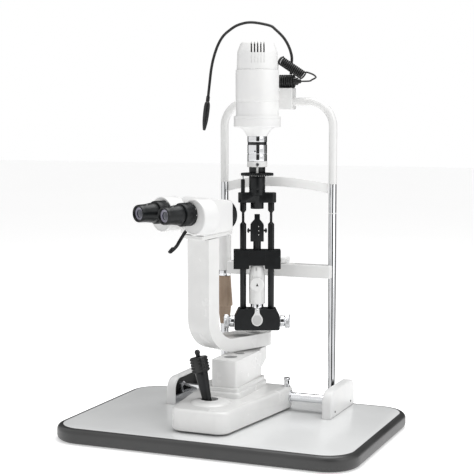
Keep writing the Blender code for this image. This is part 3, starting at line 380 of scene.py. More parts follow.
def new_finish(node, finish):
    mesh = frame["nodes"][node].data
    mesh.materials.clear()
    mesh.materials.append(finish)


# %% [markdown]
# ## The curly cord
#
# The fixation light is fed by a short retractable cord. It leaves the knob on the right, makes one bend,
# winds back over itself in about fourteen tight turns and goes into the bracket's knob again.
# It is one continuous curve, so its whole length can be measured along the line.

# %% A smooth line through points
def smooth_line(route, count):
    """Evenly numbered points on a Catmull-Rom curve through the route."""
    ends = [2 * Vector(route[0]) - Vector(route[1])] + [Vector(p) for p in route]
    ends.append(2 * Vector(route[-1]) - Vector(route[-2]))
    points = []
    for step in range(count + 1):
        place = min(step * (len(route) - 1) / count, len(route) - 1 - 1e-9)
        i, t = int(place), place - int(place)
        a, b, c, d = ends[i : i + 4]
        points.append(
            0.5 * (
                2 * b + (c - a) * t + (2 * a - 5 * b + 4 * c - d) * t**2 + (3 * b - 3 * c + d - a) * t**3
            )
        )
    return points


def tube_along(name, points, radius, finish, sides=5):
    """A round tube of world points, capped at both ends."""
    curve = bpy.data.curves.new(name, "CURVE")
    curve.dimensions = "3D"
    curve.bevel_depth = radius
    curve.bevel_resolution = sides
    curve.use_fill_caps = True
    spline = curve.splines.new("POLY")
    spline.points.add(len(points) - 1)
    for point, place in zip(spline.points, points):
        point.co = (*place, 1.0)
    spline.use_smooth = True
    curve.materials.append(finish)
    tube = bpy.data.objects.new(name, curve)
    bpy.context.scene.collection.objects.link(tube)
    return tube


print("helpers for lines ready")

# %% The cord's route
CORD_R, COIL_R, TURNS = 0.0017, 0.0081, 14
COIL_FROM, COIL_TO = Vector((0.0800, 0.180, 0.6880)), Vector((0.0300, 0.180, 0.7200))
CORD_OUT = [
    (0.0688, 0.1970, 0.6770), (0.0790, 0.1970, 0.6770), (0.0890, 0.1960, 0.6775), (0.0947, 0.1923, 0.6800),
    (0.1051, 0.1866, 0.6844), (0.1037, 0.1729, 0.6900), (0.0921, 0.1709, 0.6945),
]
CORD_BACK = [
    (0.0337, 0.1845, 0.7277), (0.0309, 0.1900, 0.7274), (0.0240, 0.1945, 0.7256), (0.0177, 0.1963, 0.7173),
    (0.0160, 0.1970, 0.7070), (0.0160, 0.1970, 0.6950), (0.0164, 0.1970, 0.6840),
]
run = (COIL_TO - COIL_FROM).normalized()
side = run.cross(Vector((0, 1, 0))).normalized()
over = run.cross(side)
coil = []
for step in range(TURNS * 16 + 1):
    angle = math.pi + 2 * math.pi * step / 16
    centre = COIL_FROM.lerp(COIL_TO, step / (TURNS * 16))
    coil.append(centre + COIL_R * (math.cos(angle) * side + math.sin(angle) * over))
lift = Vector((0, 0, TOP))
start = smooth_line([*CORD_OUT, coil[0]], 28)
finish_run = smooth_line([coil[-1], *CORD_BACK], 20)
cord_line = [point + lift for point in start[:-1] + coil + finish_run[1:]]
cord = tube_along("curly_cord", cord_line, CORD_R, RUBBER, 3)
stands_for(cord, "cord_coil", "cord_out", "cord_back")

# %% [markdown]
# ## The instrument table
#
# A white laminated board with generously rounded corners, and a grey plastic edging with a full round
# nose. The edging is a plate whose rim is bevelled in many steps, with the board's outline cut out of it.

# %% Table
low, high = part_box("table_edge_band")
HALF_W, HALF_D, THICK, CORNER, BAND = (high.x - low.x) / 2, (high.y - low.y) / 2, high.z - low.z, 0.065, 0.012


def table_outline(inset):
    return box_corners(-HALF_W + inset, -HALF_D + inset, HALF_W - inset, HALF_D - inset, CORNER - inset)


middle = Matrix.Translation((0, 0, THICK / 2))
board = make("table_board", plate(table_outline(BAND + 0.0002), THICK, 0.0004, arc=20), LAMINATE, middle)
stands_for(board, "table_top")
edging = make("table_edging", plate(table_outline(0.0), THICK, 0.010, arc=20, rim_steps=8), EDGING, middle)
carve(edging, plate(table_outline(BAND), 2 * THICK, arc=20), middle)
stands_for(edging, "table_edge_band")
print("table", round(2 * HALF_W, 3), "x", round(2 * HALF_D, 3), "m")

# %% [markdown]
# ## Rails and axle
#
# The base rolls fore and aft on an axle with a pinion at each end. Each pinion runs on a toothed rail
# under a moulded cover, which is a plate standing on edge and hollowed from its inner side.

# %% Rail covers
COVER_Y0, COVER_Y1, COVER_H, COVER_W = 0.052, 0.207, 0.055, 0.020
cover_length = COVER_Y1 - COVER_Y0
STAND_ALONG_Y = Matrix.Rotation(math.pi / 2, 4, "Z") @ UPRIGHT
for side, name in ((-1, "left"), (1, "right")):
    x = 0.0055 + side * 0.1725
    spot = TABLE @ shift(x, (COVER_Y0 + COVER_Y1) / 2, 0.0003) @ STAND_ALONG_Y
    half = cover_length / 2
    shape = [(-half, 0, 0), (half, 0, 0), (half, COVER_H, 0.022), (-half, COVER_H, 0.026)]
    cover = make(f"rail_cover_shell_{name}", plate(shape, COVER_W, 0.0028, arc=14, rim_steps=4), ABS, spot)
    inner = half - 0.003
    hollow = [
        (-inner, -0.01, 0), (inner, -0.01, 0), (inner, COVER_H - 0.003, 0.019),
        (-inner, COVER_H - 0.003, 0.023),
    ]
    carve(cover, plate(hollow, COVER_W, arc=14), spot @ shift(0, 0, -side * 0.003))
    stands_for(cover, f"rail_cover_{name}")
    # This thin black sheet against the cover's outer wall is painted shade: it stands for the shade inside the
    # cover's hollow.
    hollow_shade_sheet = make(f"rail_hollow_painted_shade_{name}", plate([(-inner + 0.001, 0.0004, 0), (inner - 0.001, 0.0004, 0),
        (inner - 0.001, COVER_H - 0.004, 0.018), (-inner + 0.001, COVER_H - 0.004, 0.022)], 0.0010, arc=10),
        BLACK_FILL_AND_PAINTED_SHADE, spot @ shift(0, 0, side * 0.0063))
    sits_on(hollow_shade_sheet, f"rail_cover_{name}")
    for along in (-0.052, 0.052):
        screw = rod(0.0022, -0.0004, 0.0006, 0.0002, 24)
        screw = make(f"cover_screw_{name}_{'front' if along < 0 else 'rear'}", screw, BLACK_FILL_AND_PAINTED_SHADE,
                     spot @ shift(along, 0.0105, side * COVER_W / 2))
        sits_on(screw, f"rail_cover_{name}")
for node in ("rack_left", "rack_right", "pinion_left", "pinion_right", "axle"):
    new_finish(node, STEEL)
print("rail covers", round(cover_length, 3), "m long")

# %% Axle sleeve
AXLE_Y, AXLE_H, SLEEVE_R = 0.100, 0.0285, 0.009
low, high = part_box("axle_sleeve")
half = (high.x - low.x) / 2
tube = [(SLEEVE_R, half), (SLEEVE_R, -half), (0.0053, -half), (0.0053, half)]
sleeve = make(
    "bright_axle_sleeve", turned(tube, ring=True), CHROME,
    TABLE @ shift(0.0055, AXLE_Y, AXLE_H) @ ALONG_X,
)
stands_for(sleeve, "axle_sleeve")
print("sleeve", round(2 * half, 3), "m long")

# %% [markdown]
# ## The cross-slide base
#
# One enamelled casting with soft shoulders. It is built like the real pattern: a tapering slab, a low
# step and a plinth for the lift block, and a round swelling where the joystick comes through.

# %% Base housing
FRONT_Y, REAR_Y, FRONT_HALF, REAR_HALF, BASE_LOW, BASE_HIGH = -0.160, 0.128, 0.058, 0.098, 0.003, 0.047
plan = [
    (-FRONT_HALF, FRONT_Y, 0.026), (FRONT_HALF, FRONT_Y, 0.026), (REAR_HALF, REAR_Y, 0.022),
    (-REAR_HALF, REAR_Y, 0.022),
]
tall, middle_h = BASE_HIGH - BASE_LOW, (BASE_HIGH + BASE_LOW) / 2
housing = make(
    "base_casting", plate(plan, tall, 0.0065, arc=16, rim_steps=6), ENAMEL, BASE @ shift(0, 0, middle_h),
)
step_plan = box_corners(-0.038, -0.040, 0.038, 0.1195, 0.012)
carve(housing, plate(step_plan, 0.020, 0.004, rim_steps=5), BASE @ shift(0, 0, 0.048), "UNION")
plinth_plan = box_corners(-0.0335, -0.0345, 0.0335, 0.1145, 0.006)
carve(housing, plate(plinth_plan, 0.026, 0.002), BASE @ shift(0, 0, 0.053), "UNION")
pad = [
    (0, 0.0515), (0.030, 0.0515), (0.0335, 0.0510), (0.0365, 0.0498), (0.039, 0.0482), (0.042, 0.0455),
    (0.042, 0.04), (0, 0.04),
]
carve(housing, turned(pad, 0), BASE @ shift(-0.004, -0.084, 0), "UNION")
boss = [(0, 0.022), (0.012, 0.022), (0.0165, 0.019), (0.0185, 0.0145), (0.0185, 0), (0, 0)]
carve(housing, turned(boss, 0.0005), BASE @ shift(0.0725, AXLE_Y, AXLE_H) @ ALONG_X, "UNION")
cavity = [(-0.052, -0.154, 0.020), (0.052, -0.154, 0.020), (0.092, 0.122, 0.016), (-0.092, 0.122, 0.016)]
carve(housing, plate(cavity, 0.080), BASE)
carve(housing, plate(box_corners(-0.0278, -0.0288, 0.0278, 0.1103, 0.005), 0.12), BASE @ shift(0, 0, 0.080))
carve(housing, rod(0.0175, 0.0, 0.08, 0), BASE @ shift(-0.0097, -0.0765, 0.02))
carve(housing, rod(SLEEVE_R + 0.0003, -0.15, 0.15, 0), BASE @ shift(0, AXLE_Y, AXLE_H) @ ALONG_X)
stands_for(housing, "base_housing")
print("base casting", len(housing.data.polygons), "faces")

# %% Base lock knob and axle collar
knob = [
    (0.0, 0.0650), (0.0062, 0.0650), (0.0070, 0.0644), (0.0072, 0.0632), (0.0072, 0.0612), (0.0057, 0.0600),
    (0.0057, 0.0510), (0.0072, 0.0473), (0.0, 0.0473),
]
lock_at = BASE @ shift(0.083, 0.110, 0)
stands_for(make("base_lock_knob_turned", turned(knob), CHROME, lock_at), "base_lock_knob")
collar = [(0.0125, 0.0), (0.0125, 0.0025), (0.0112, 0.0035), (0.0094, 0.0035), (0.0094, 0.0)]
ring = make("axle_collar", turned(collar, ring=True), CHROME, BASE @ shift(0.0945, AXLE_Y, AXLE_H) @ ALONG_X)
sits_on(ring, "base_housing")
print("lock knob and collar")

# %% [markdown]
# ## The joystick
#
# A tapered black stick leans out of the base. Its rubber grip is covered with rows of small studs, with
# one smooth strip, and a ball-shaped button sits on top. Each stud is a tiny squashed icosphere, cheap
# enough to repeat a hundred times.

# %% Stick and button
STICK = BASE @ shift(-0.0087, -0.077, 0.020) @ Matrix.Rotation(math.radians(-12.5), 4, "Y")
shaft = [
    (0.0, 0.1140), (0.0050, 0.1140), (0.0050, 0.0860), (0.0128, 0.0860), (0.0126, 0.080), (0.0110, 0.060),
    (0.0092, 0.034), (0.0088, 0.020), (0.0060, 0.012), (0.0100, 0.006), (0.0118, 0.0), (0.0100, -0.006),
    (0.0060, -0.0105), (0.0, -0.012),
]
stands_for(make("joystick_stick", turned(shaft), ANODISED, STICK), "joystick_shaft")
button = [
    (0.0, 0.1312), (0.0022, 0.1308), (0.0040, 0.1296), (0.0052, 0.1278), (0.0056, 0.1256), (0.0053, 0.1236),
    (0.0044, 0.1220), (0.0044, 0.1172), (0.0, 0.1172),
]
stands_for(make("joystick_cap", turned(button), BLACK_PLASTIC, STICK), "joystick_button")
print("stick is", round(0.1312 + 0.012, 3), "m long")

# %% Studded grip
GRIP_LOW, GRIP_HIGH, GRIP_R = 0.0865, 0.1165, 0.0168
core = [
    (0.0053, GRIP_HIGH), (GRIP_R - 0.001, GRIP_HIGH), (GRIP_R, GRIP_HIGH - 0.001),
    (GRIP_R, GRIP_LOW + 0.001), (GRIP_R - 0.001, GRIP_LOW), (0.0053, GRIP_LOW),
]
grip = turned(core, 0.0004, ring=True)
COLUMNS, ROWS = 22, 5
for column in range(COLUMNS):
    if column in (16, 17):
        continue  # the smooth strip
    angle = 2 * math.pi * column / COLUMNS
    for row in range(ROWS):
        z = GRIP_LOW + 0.0034 + row * (GRIP_HIGH - GRIP_LOW - 0.0068) / (ROWS - 1)
        spot = Matrix.Rotation(angle, 4, "Z") @ shift(GRIP_R, 0, z) @ Matrix.Diagonal(
            (0.0017, 0.0017, 0.0021, 1)
        )
        bmesh.ops.create_icosphere(grip, subdivisions=2, radius=1.0, matrix=spot)
stands_for(make("joystick_studded_grip", grip, RUBBER, STICK), "joystick_grip")
print((COLUMNS - 2) * ROWS, "studs")

# %% [markdown]
# ## The lift block
#
# Turning the joystick raises this square block, which carries the post that everything swings on.
# Its top has two round grey caps in shallow recesses, and its nose reaches back over the axle.

# %% Lift block
LIFT_TOP, SWING_Y = 0.120, 0.148
column = plate(box_corners(-0.0275, -0.0285, 0.0275, 0.1100, 0.005), LIFT_TOP - 0.0205)
block = make("lift_column", column, ENAMEL, BASE @ shift(0, 0, (LIFT_TOP + 0.0205) / 2))
nose = plate(
    [
        (-0.0215, 0.08, 0), (0.0215, 0.08, 0), (0.0215, SWING_Y + 0.0215, 0.0214),
        (-0.0215, SWING_Y + 0.0215, 0.0214),
    ],
    0.040, arc=20,
)
carve(block, nose, BASE @ shift(0, 0, LIFT_TOP - 0.020), "UNION")
wedge = plate(box_corners(-0.05, -0.05, 0.05, 0.05, 0), 0.05)
carve(block, wedge, BASE @ shift(0, 0.1638, 0.0735) @ Matrix.Rotation(math.radians(28), 4, "X"))
carve(block, plate(box_corners(-0.05, -0.020, 0.05, 0.020, 0), 0.060), BASE @ shift(0, 0.107, 0.0185))
carve(block, rod(0.0140, -0.003, 0.003, 0, 64), BASE @ shift(-0.003, 0.012, LIFT_TOP))
carve(block, rod(0.0095, -0.003, 0.003, 0, 64), BASE @ shift(0.001, 0.054, LIFT_TOP))
carve(block, rod(0.0083, -0.10, 0.10, 0), BASE @ shift(0, SWING_Y, LIFT_TOP))
stands_for(round_off(block, 0.0016), "lift_block")
for name, x, y, radius in (("front", -0.003, 0.012, 0.0128), ("rear", 0.001, 0.054, 0.0084)):
    cap = rod(radius, LIFT_TOP - 0.0029, LIFT_TOP - 0.0012, 0.0004, 64)
    sits_on(make(f"lift_cap_{name}", cap, GREY_PAINT, BASE @ shift(x, y, 0)), "lift_block")
collar_top = 0.1235
post_profile = [(0.0, 0.1585), (0.0080, 0.1585), (0.0080, collar_top), (0.0205, collar_top), (0.0205, 0.1203),
                (0.0080, 0.1203), (0.0080, 0.0960), (0.0, 0.0960)]
stands_for(make("swing_post_turned", turned(post_profile), STEEL, BASE @ shift(0, SWING_Y, 0)), "swing_post")
print("lift block", len(block.data.polygons), "faces")

# %% [markdown]
# ## The microscope's arm
#
# Seen from the side the arm is an L: a level beam from the post, a large bend, and an upright. It is
# cut from a thick plate with that outline, then trimmed to its plan so that its hub is round.

# %% Microscope arm
ARM_LOW, ARM_T, INNER_R, HUB_R, ARM_HALF = 0.1238, 0.0275, 0.136, 0.030, 0.0325
side_view = [
    (-HUB_R, ARM_LOW, 0), (INNER_R + ARM_T, ARM_LOW, 0.068), (INNER_R + ARM_T, 0.3585, 0),
    (INNER_R, 0.3616, 0), (INNER_R, ARM_LOW + ARM_T, 0.040), (-HUB_R, ARM_LOW + ARM_T, 0),
]
arm = make("microscope_arm_casting", plate(side_view, 2 * ARM_HALF, arc=24), ENAMEL, MICROSCOPE @ ALONG_ARM)
plan = [(-ARM_HALF, -0.20, 0), (ARM_HALF, -0.20, 0), (ARM_HALF, 0.030, 0.0298), (-ARM_HALF, 0.030, 0.0298)]
carve(arm, plate(plan, 0.60, arc=20), MICROSCOPE @ shift(0, 0, 0.30), "INTERSECT")
carve(arm, rod(0.0083, 0.08, 0.20, 0), MICROSCOPE)
carve(arm, rod(0.0290, -0.002, 0.002, 0, 72), MICROSCOPE @ shift(0, -0.063, ARM_LOW + ARM_T))
stands_for(round_off(arm, 0.0032, 4, 45), "microscope_arm")
disc = rod(0.0284, ARM_LOW + ARM_T - 0.0019, ARM_LOW + ARM_T - 0.0006, 0.0004, 72)
sits_on(
    make("arm_cover_disc", disc, LIGHT_GREY, MICROSCOPE @ shift(0, -0.063, 0)), "microscope_arm",
)
print("arm", len(arm.data.polygons), "faces")

# %% [markdown]
# ## Microscope body, prisms and eyepieces
#
# A sloping plate joins the arm to a soft-cornered cover, and two short drums in front hold the prisms.
# Each drum turns on its own axis, which is how the eyepieces are set to the examiner's eyes.

# %% Plate and body cover
under = [(0.0985, 0.3665, 0.002), (0.1800, 0.3580, 0.002), (0.1800, 0.3663, 0.001), (0.0985, 0.3733, 0.001)]
stands_for(
    make("microscope_tilt_plate", plate(under, 0.064, 0.0008), ENAMEL, MICROSCOPE @ ALONG_ARM),
    "microscope_plate",
)
cover = [(0.1005, 0.3737, 0.004), (0.1800, 0.3670, 0.004), (0.1800, 0.4445, 0.012), (0.1005, 0.4355, 0.010)]
body = make("microscope_cover", plate(cover, 0.074, 0.008, rim_steps=6), ABS, MICROSCOPE @ ALONG_ARM)
stands_for(body, "microscope_body")
for number, (u, out) in enumerate(((-0.026, 0.112), (0.026, 0.112), (-0.026, 0.168), (0.026, 0.168))):
    drop = 0.3665 - (out - 0.0985) * 0.104 - 0.0012
    screw = make(
        f"plate_screw_{number}", rod(0.0028, drop, drop + 0.0012, 0.0004, 24), BLACK_PLASTIC,
        MICROSCOPE @ shift(u, -out, 0),
    )
    sits_on(screw, "microscope_plate")
print("body cover", len(body.data.polygons), "faces")

# %% Objective
OPTIC_H = 0.4035
ring = [
    (0.0, 0.1000), (0.0290, 0.1000), (0.0290, 0.0925), (0.0284, 0.0920), (0.0284, 0.0905), (0.0290, 0.0900),
    (0.0290, 0.0830), (0.0275, 0.0812), (0.0240, 0.0812), (0.0225, 0.0870), (0.0, 0.0870),
]
objective_at = MICROSCOPE @ shift(0, 0, OPTIC_H) @ UPRIGHT
stands_for(make("objective_ring", turned(ring), ANODISED, objective_at), "objective")
glass = [(0.0, 0.0838), (0.0080, 0.0841), (0.0160, 0.0850), (0.0224, 0.0866), (0.0224, 0.0872), (0.0, 0.0872)]
sits_on(make("objective_lens", turned(glass, 0), LENS, objective_at), "objective")
print("objective", 58, "mm across")

# %% Prism drums, eyepieces and dioptre rings
PRISM_R, PRISM_FRONT, EYE_FACE = 0.036, 0.219, 0.287
for side, name in ((-1, "left"), (1, "right")):
    at_drum = MICROSCOPE @ shift(side * 0.049, 0, 0.408) @ UPRIGHT
    at_eye = MICROSCOPE @ shift(side * 0.0392, 0, 0.414) @ UPRIGHT
    drum = [
        (0.0, PRISM_FRONT - 0.0008), (PRISM_R - 0.0050, PRISM_FRONT - 0.0008),
        (PRISM_R - 0.0040, PRISM_FRONT), (PRISM_R - 0.0025, PRISM_FRONT),
        (PRISM_R - 0.0008, PRISM_FRONT - 0.0007), (PRISM_R, PRISM_FRONT - 0.0025), (PRISM_R, 0.1824),
        (PRISM_R - 0.002, 0.1804), (0.0, 0.1804),
    ]
    stands_for(make(f"prism_drum_{name}", turned(drum, 0.0002, 96), ABS, at_drum), f"prism_housing_{name}")
    start, end, face = PRISM_FRONT + 0.0003, 0.2450, EYE_FACE
    barrel = [
        (0.0, face - 0.0075), (0.0110, face - 0.0070), (0.0128, face - 0.0040), (0.0142, face - 0.0008),
        (0.0155, face), (0.0170, face - 0.0008), (0.0176, face - 0.0030), (0.0178, face - 0.0080),
        (0.0182, face - 0.0200), (0.0196, end + 0.0110), (0.0200, end + 0.0080), (0.0200, end + 0.0003),
        (0.0150, end + 0.0003), (0.0150, start), (0.0, start),
    ]
    stands_for(make(f"eyepiece_barrel_{name}", turned(barrel), ANODISED, at_eye), f"eyepiece_{name}")
    ring = [
        (0.0112, face - 0.0069), (0.0126, face - 0.0042), (0.0084, face - 0.0052),
        (0.0084, face - 0.0069),
    ]
    # The ring's grey-violet colour is a painted reflection on the lens mount.
    sits_on(
        make(f"eyepiece_ring_painted_reflection_{name}", turned(ring, 0.0002, ring=True), LENS_MOUNT_PAINTED_REFLECTION, at_eye),
        f"eyepiece_{name}",
    )
    lens = [
        (0.0, face - 0.0040), (0.0040, face - 0.0044), (0.0083, face - 0.0056), (0.0083, face - 0.0074),
        (0.0, face - 0.0074),
    ]
    sits_on(make(f"eye_lens_{name}", turned(lens, 0), LENS, at_eye), f"eyepiece_{name}")
    collar = turned(
        [
            (0.0218, end), (0.0232, end - 0.0018), (0.0232, start + 0.0070), (0.0216, start + 0.0060),
            (0.0216, start + 0.0040), (0.0232, start + 0.0030), (0.0232, start), (0.0153, start),
            (0.0153, end),
        ],
        0.0002, 144, ring=True,
    )
    for vert in collar.verts:
        if vert.co.xy.length > 0.0226 and start + 0.0078 < vert.co.z < end - 0.0004:
            if round(math.atan2(vert.co.y, vert.co.x) / (2 * math.pi / 144)) % 2:
                vert.co.xy *= 0.977
    stands_for(make(f"dioptre_collar_{name}", collar, ANODISED, at_eye), f"dioptre_ring_{name}")
    for number, turn in enumerate((-62, -30, 2, 34, 66)):
        spot = at_eye @ Matrix.Rotation(
            math.radians(turn + 60), 4, "Z",
        ) @ shift(0.0230, 0, start + 0.0016) @ ALONG_X
        dot = make(f"dioptre_dot_{name}_{number}", rod(0.0008, 0, 0.00035, 0, 16), MARK_WHITE, spot)
        sits_on(dot, f"dioptre_ring_{name}")
    tick = make(
        f"eyepiece_tick_{name}", plate(box_corners(-0.0004, -0.005, 0.0004, 0.005, 0), 0.0004),
        MARK_WHITE,
        at_eye @ Matrix.Rotation(math.radians(-20), 4, "Z") @ shift(0, 0.0182, face - 0.022)
        @ Matrix.Rotation(math.pi / 2 + 0.05, 4, "X"),
    )
    sits_on(tick, f"eyepiece_{name}")
print("eyepieces", round(2 * 0.0392, 4), "m apart")

# %% Magnification lever
LEVER = MICROSCOPE @ shift(0, -0.1866, 0.3815)
route = [(0, 0.0, 0.0), (0, -0.010, -0.006), (0, -0.024, -0.022), (0, -0.034, -0.034), (0, -0.046, -0.042)]
stick = tube_along("magnification_stick", [LEVER @ p for p in smooth_line(route, 24)], 0.0034, ANODISED)
stands_for(stick, "magnification_lever")
paddle_at = LEVER @ shift(0, -0.0460, -0.0410) @ Matrix.Rotation(math.radians(35), 4, "X")
paddle = plate(
    [
        (-0.0045, -0.008, 0.003), (0.0045, -0.008, 0.003), (0.0065, 0.008, 0.003),
        (-0.0065, 0.008, 0.003),
    ][::-1],
    0.0052, 0.0018,
)
sits_on(make("magnification_paddle", paddle, ANODISED, paddle_at), "magnification_lever")
sits_on(
    make("magnification_hub", rod(0.0060, -0.006, 0.006, 0.0008), ANODISED, LEVER @ ALONG_X),
    "magnification_lever",
)
print("lever reaches", 0.046, "m out")

# %% [markdown]
# ## The lamp tower's foot
#
# The tower stands on a short white arm above the microscope's hub. Its black foot tips on a cross shaft
# that also carries the two chrome knobs which set the slit's width, and a white latch locks the tilt.

# %% Tower arm and foot
HUB_LOW = ARM_LOW + ARM_T + 0.0006
SWING = MICROSCOPE @ Matrix.Rotation(turn_across("tower_tilt") - turn_across("magnification_turn"), 4, "Z")
hub = make(
    "tower_arm_casting",
    turned([(0.0083, 0.005), (0.0235, 0.005), (0.0235, 0), (0.0083, 0)], 0.0006, ring=True), ENAMEL,
    SWING @ shift(0, 0, HUB_LOW),
)
tongue = [
    (0.0095, HUB_LOW, 0), (0.0270, HUB_LOW, 0.002), (0.0270, 0.1700, 0.004), (0.0600, 0.1720, 0.0085),
    (0.0600, 0.1896, 0.0085), (0.0220, 0.1950, 0.008), (0.0095, 0.1620, 0),
]
carve(hub, plate(tongue, 0.020, 0.0008), SWING @ ALONG_ARM, "UNION")
carve(hub, rod(0.0033, -0.03, 0.03, 0), SWING @ shift(0, -0.052, 0.1808) @ ALONG_X)
stands_for(hub, "tower_arm")
foot_outline = [
    (-0.0468, 0.1645, 0.004), (0.0468, 0.1645, 0.004), (0.0468, 0.1915, 0.004), (0.0385, 0.2085, 0.002),
    (-0.0385, 0.2085, 0.002), (-0.0468, 0.1915, 0.004),
]
foot = make("tower_foot_block", plate(foot_outline, 0.038), ANODISED, TOWER @ UPRIGHT)
carve(foot, plate(box_corners(-0.0106, -0.0115, 0.0106, 0.06, 0.002), 0.060), TOWER @ shift(0, 0, 0.1685))
carve(foot, rod(0.0034, -0.1, 0.1, 0), TOWER @ shift(0, 0, 0.1808) @ ALONG_X)
stands_for(round_off(foot, 0.0014), "tower_foot")
print("foot block", len(foot.data.polygons), "faces")

# %% Tilt latch
LATCH_H = 0.1868
LATCH = TOWER @ shift(0, -0.0214, LATCH_H) @ UPRIGHT
drop = [
    (0.0116 * math.sin(math.radians(t)), -0.0126 * math.cos(math.radians(t)), 0)
    for t in range(-120, 121, 8)
]
drop += [(0.0050, 0.0140, 0.010), (0.0044, 0.0245, 0.003), (-0.0044, 0.0245, 0.003), (-0.0050, 0.0140, 0.010)]
latch = make("tilt_latch_casting", plate(drop, 0.004, 0.0009), ENAMEL, LATCH)
inside = [(x * 0.80, y * 0.80, 0) for x, y, _ in drop[:-4]] + [(0.0040, 0.0100, 0), (-0.0040, 0.0100, 0)]
carve(latch, plate(inside, 0.0030), LATCH @ shift(0, 0, 0.0023))
stands_for(latch, "tilt_latch")
inlay = make(
    "tilt_latch_inlay", plate([(x * 0.97, y * 0.97, 0) for x, y, _ in inside], 0.0009), LIGHT_GREY,
    LATCH @ shift(0, 0, 0.0009),
)
sits_on(inlay, "tilt_latch")
pin = [(0, 0.0042), (0.0016, 0.0042), (0.0022, 0.0036), (0.0022, 0.0018), (0, 0.0018)]
sits_on(
    make("tilt_latch_screw", turned(pin, 0.0002, 32), CHROME, LATCH @ shift(0, 0.0200, 0)), "tilt_latch",
)
print("latch", len(latch.data.polygons), "faces")


# %% Knurled slit knobs
def knurl(bm, low, high, least_radius, ribs, depth):
    """Pushes every other column of points inwards between two heights."""
    for vert in bm.verts:
        if low < vert.co.z < high and vert.co.xy.length > least_radius:
            if round(math.atan2(vert.co.y, vert.co.x) * ribs / math.pi) % 2:
                vert.co.xy *= 1 - depth / vert.co.xy.length
    return bm


start, end = 0.0472, 0.0687
for side, name in ((-1, "left"), (1, "right")):
    inner = 0.0 if side < 0 else 0.0033
    profile = [
        (inner, start), (0.0118, start), (0.0118, start + 0.0085), (0.0100, start + 0.0095),
        (0.0140, start + 0.0112), (0.0140, start + 0.0120), (0.0140, end - 0.0018),
        (0.0140, end - 0.0010), (0.0130, end), (0.0, end),
    ]
    if side > 0:
        profile += [(0.0, 0.0563), (inner, 0.0563)]
    knob = knurl(turned(profile, 0.0002, 120, ring=True), start + 0.0116, end - 0.0014, 0.0125, 60, 0.0005)
    across = ALONG_X if side > 0 else Matrix.Rotation(-math.pi / 2, 4, "Y")
    piece = make(f"slit_width_knob_{name}", knob, CHROME, TOWER @ shift(0, 0, 0.1808) @ across)
    if side < 0:
        carve(
            piece, rod(0.0030, -0.0560, start + 0.002, 0.0002), TOWER @ shift(0, 0, 0.1808) @ across,
            "UNION",
        )
    stands_for(piece, f"slit_knob_{name}")
print("slit knobs", round(2 * end, 4), "m over both")

# %% [markdown]
# ## Pillars, blocks and the centring column
#
# Two black pillars carry everything above the foot. A white column stands between them at the bottom,
# with the small centring knob; a black block ties the pillars together halfway up.

# %% Pillars and blocks
for side, name in ((-1, "left"), (1, "right")):
    pillar = [
        (0.0, 0.4278), (0.0065, 0.4278), (0.0065, 0.4115), (0.0027, 0.4070), (0.0027, 0.3880),
        (0.0065, 0.3835), (0.0065, 0.2088), (0.0, 0.2088),
    ]
    stands_for(
        make(f"pillar_turned_{name}", turned(pillar), ANODISED, TOWER @ shift(side * 0.0288, 0, 0)),
        f"pillar_{name}",
    )
notched = [
    (-0.0485, 0.2918, 0.001), (-0.0162, 0.2918, 0.001), (-0.0162, 0.2990, 0.001), (0.0162, 0.2990, 0.001),
    (0.0162, 0.2918, 0.001), (0.0485, 0.2918, 0.001), (0.0485, 0.3304, 0.001), (-0.0485, 0.3304, 0.001),
]
middle_block = make("pillar_tie_block", plate(notched, 0.034, arc=3), ANODISED, TOWER @ UPRIGHT)
for x, radius in ((-0.0288, 0.0068), (0.0288, 0.0068), (0.0, 0.0083)):
    carve(middle_block, rod(radius, 0.28, 0.38, 0), TOWER @ shift(x, 0, 0))
for x in (-0.0172, 0.0172):
    carve(
        middle_block, plate(box_corners(x - 0.0003, 0.28, x + 0.0003, 0.34, 0), 0.001),
        TOWER @ shift(0, -0.0172, 0) @ UPRIGHT,
    )
stands_for(round_off(middle_block, 0.0009), "tower_middle_block")
print("tie block", len(middle_block.data.polygons), "faces")

# %% Centring column and knob
column = [
    (0.0, 0.2985), (0.0118, 0.2985), (0.0124, 0.2978), (0.0135, 0.2935), (0.0168, 0.2775), (0.0168, 0.2190),
    (0.0160, 0.2185), (0.0, 0.2185),
]
centre = make("centring_column_turned", turned(column, 0.0004), ENAMEL, TOWER)
carve(
    centre, plate(box_corners(-0.0011, 0.2880, 0.0011, 0.2965, 0.0008), 0.02),
    TOWER @ shift(-0.0020, -0.020, 0) @ UPRIGHT,
)
carve(centre, plate(box_corners(0.0096, 0.21, 0.0100, 0.30, 0), 0.02), TOWER @ shift(0, -0.020, 0) @ UPRIGHT)
stands_for(centre, "centring_column")
foot_ring = [
    (0.0, 0.2184), (0.0130, 0.2184), (0.0134, 0.2175), (0.0134, 0.2096), (0.0128, 0.2088), (0.0, 0.2088),
]
sits_on(make("centring_column_foot", turned(foot_ring), CHROME, TOWER), "centring_column")
knob = [
    (0.0, 0.0236), (0.0090, 0.0236), (0.0120, 0.0233), (0.0138, 0.0226), (0.0147, 0.0215),
    (0.0148, 0.0175), (0.0, 0.0175),
]
KNOB_AT = TOWER @ shift(0, 0, 0.2602) @ UPRIGHT
stands_for(make("centring_knob_turned", turned(knob, 0.0002), ENAMEL, KNOB_AT), "centring_knob")
pointer = plate([(-0.0026, -0.0030, 0), (0.0026, -0.0030, 0), (0.0, 0.0034, 0)], 0.0004)
sits_on(
    make("centring_knob_pointer", pointer, BLACK_FILL_AND_PAINTED_SHADE, KNOB_AT @ shift(0, 0, 0.0237)), "centring_knob",
)
print("centring column and knob")

# %% [markdown]
# ## The mirror head and the light tube
#
# The lamp shines down the tube on to a small mirror at 45 degrees, which throws the slit at the eye.
# The toothed disc turns the aperture, and a spring pin holds it.

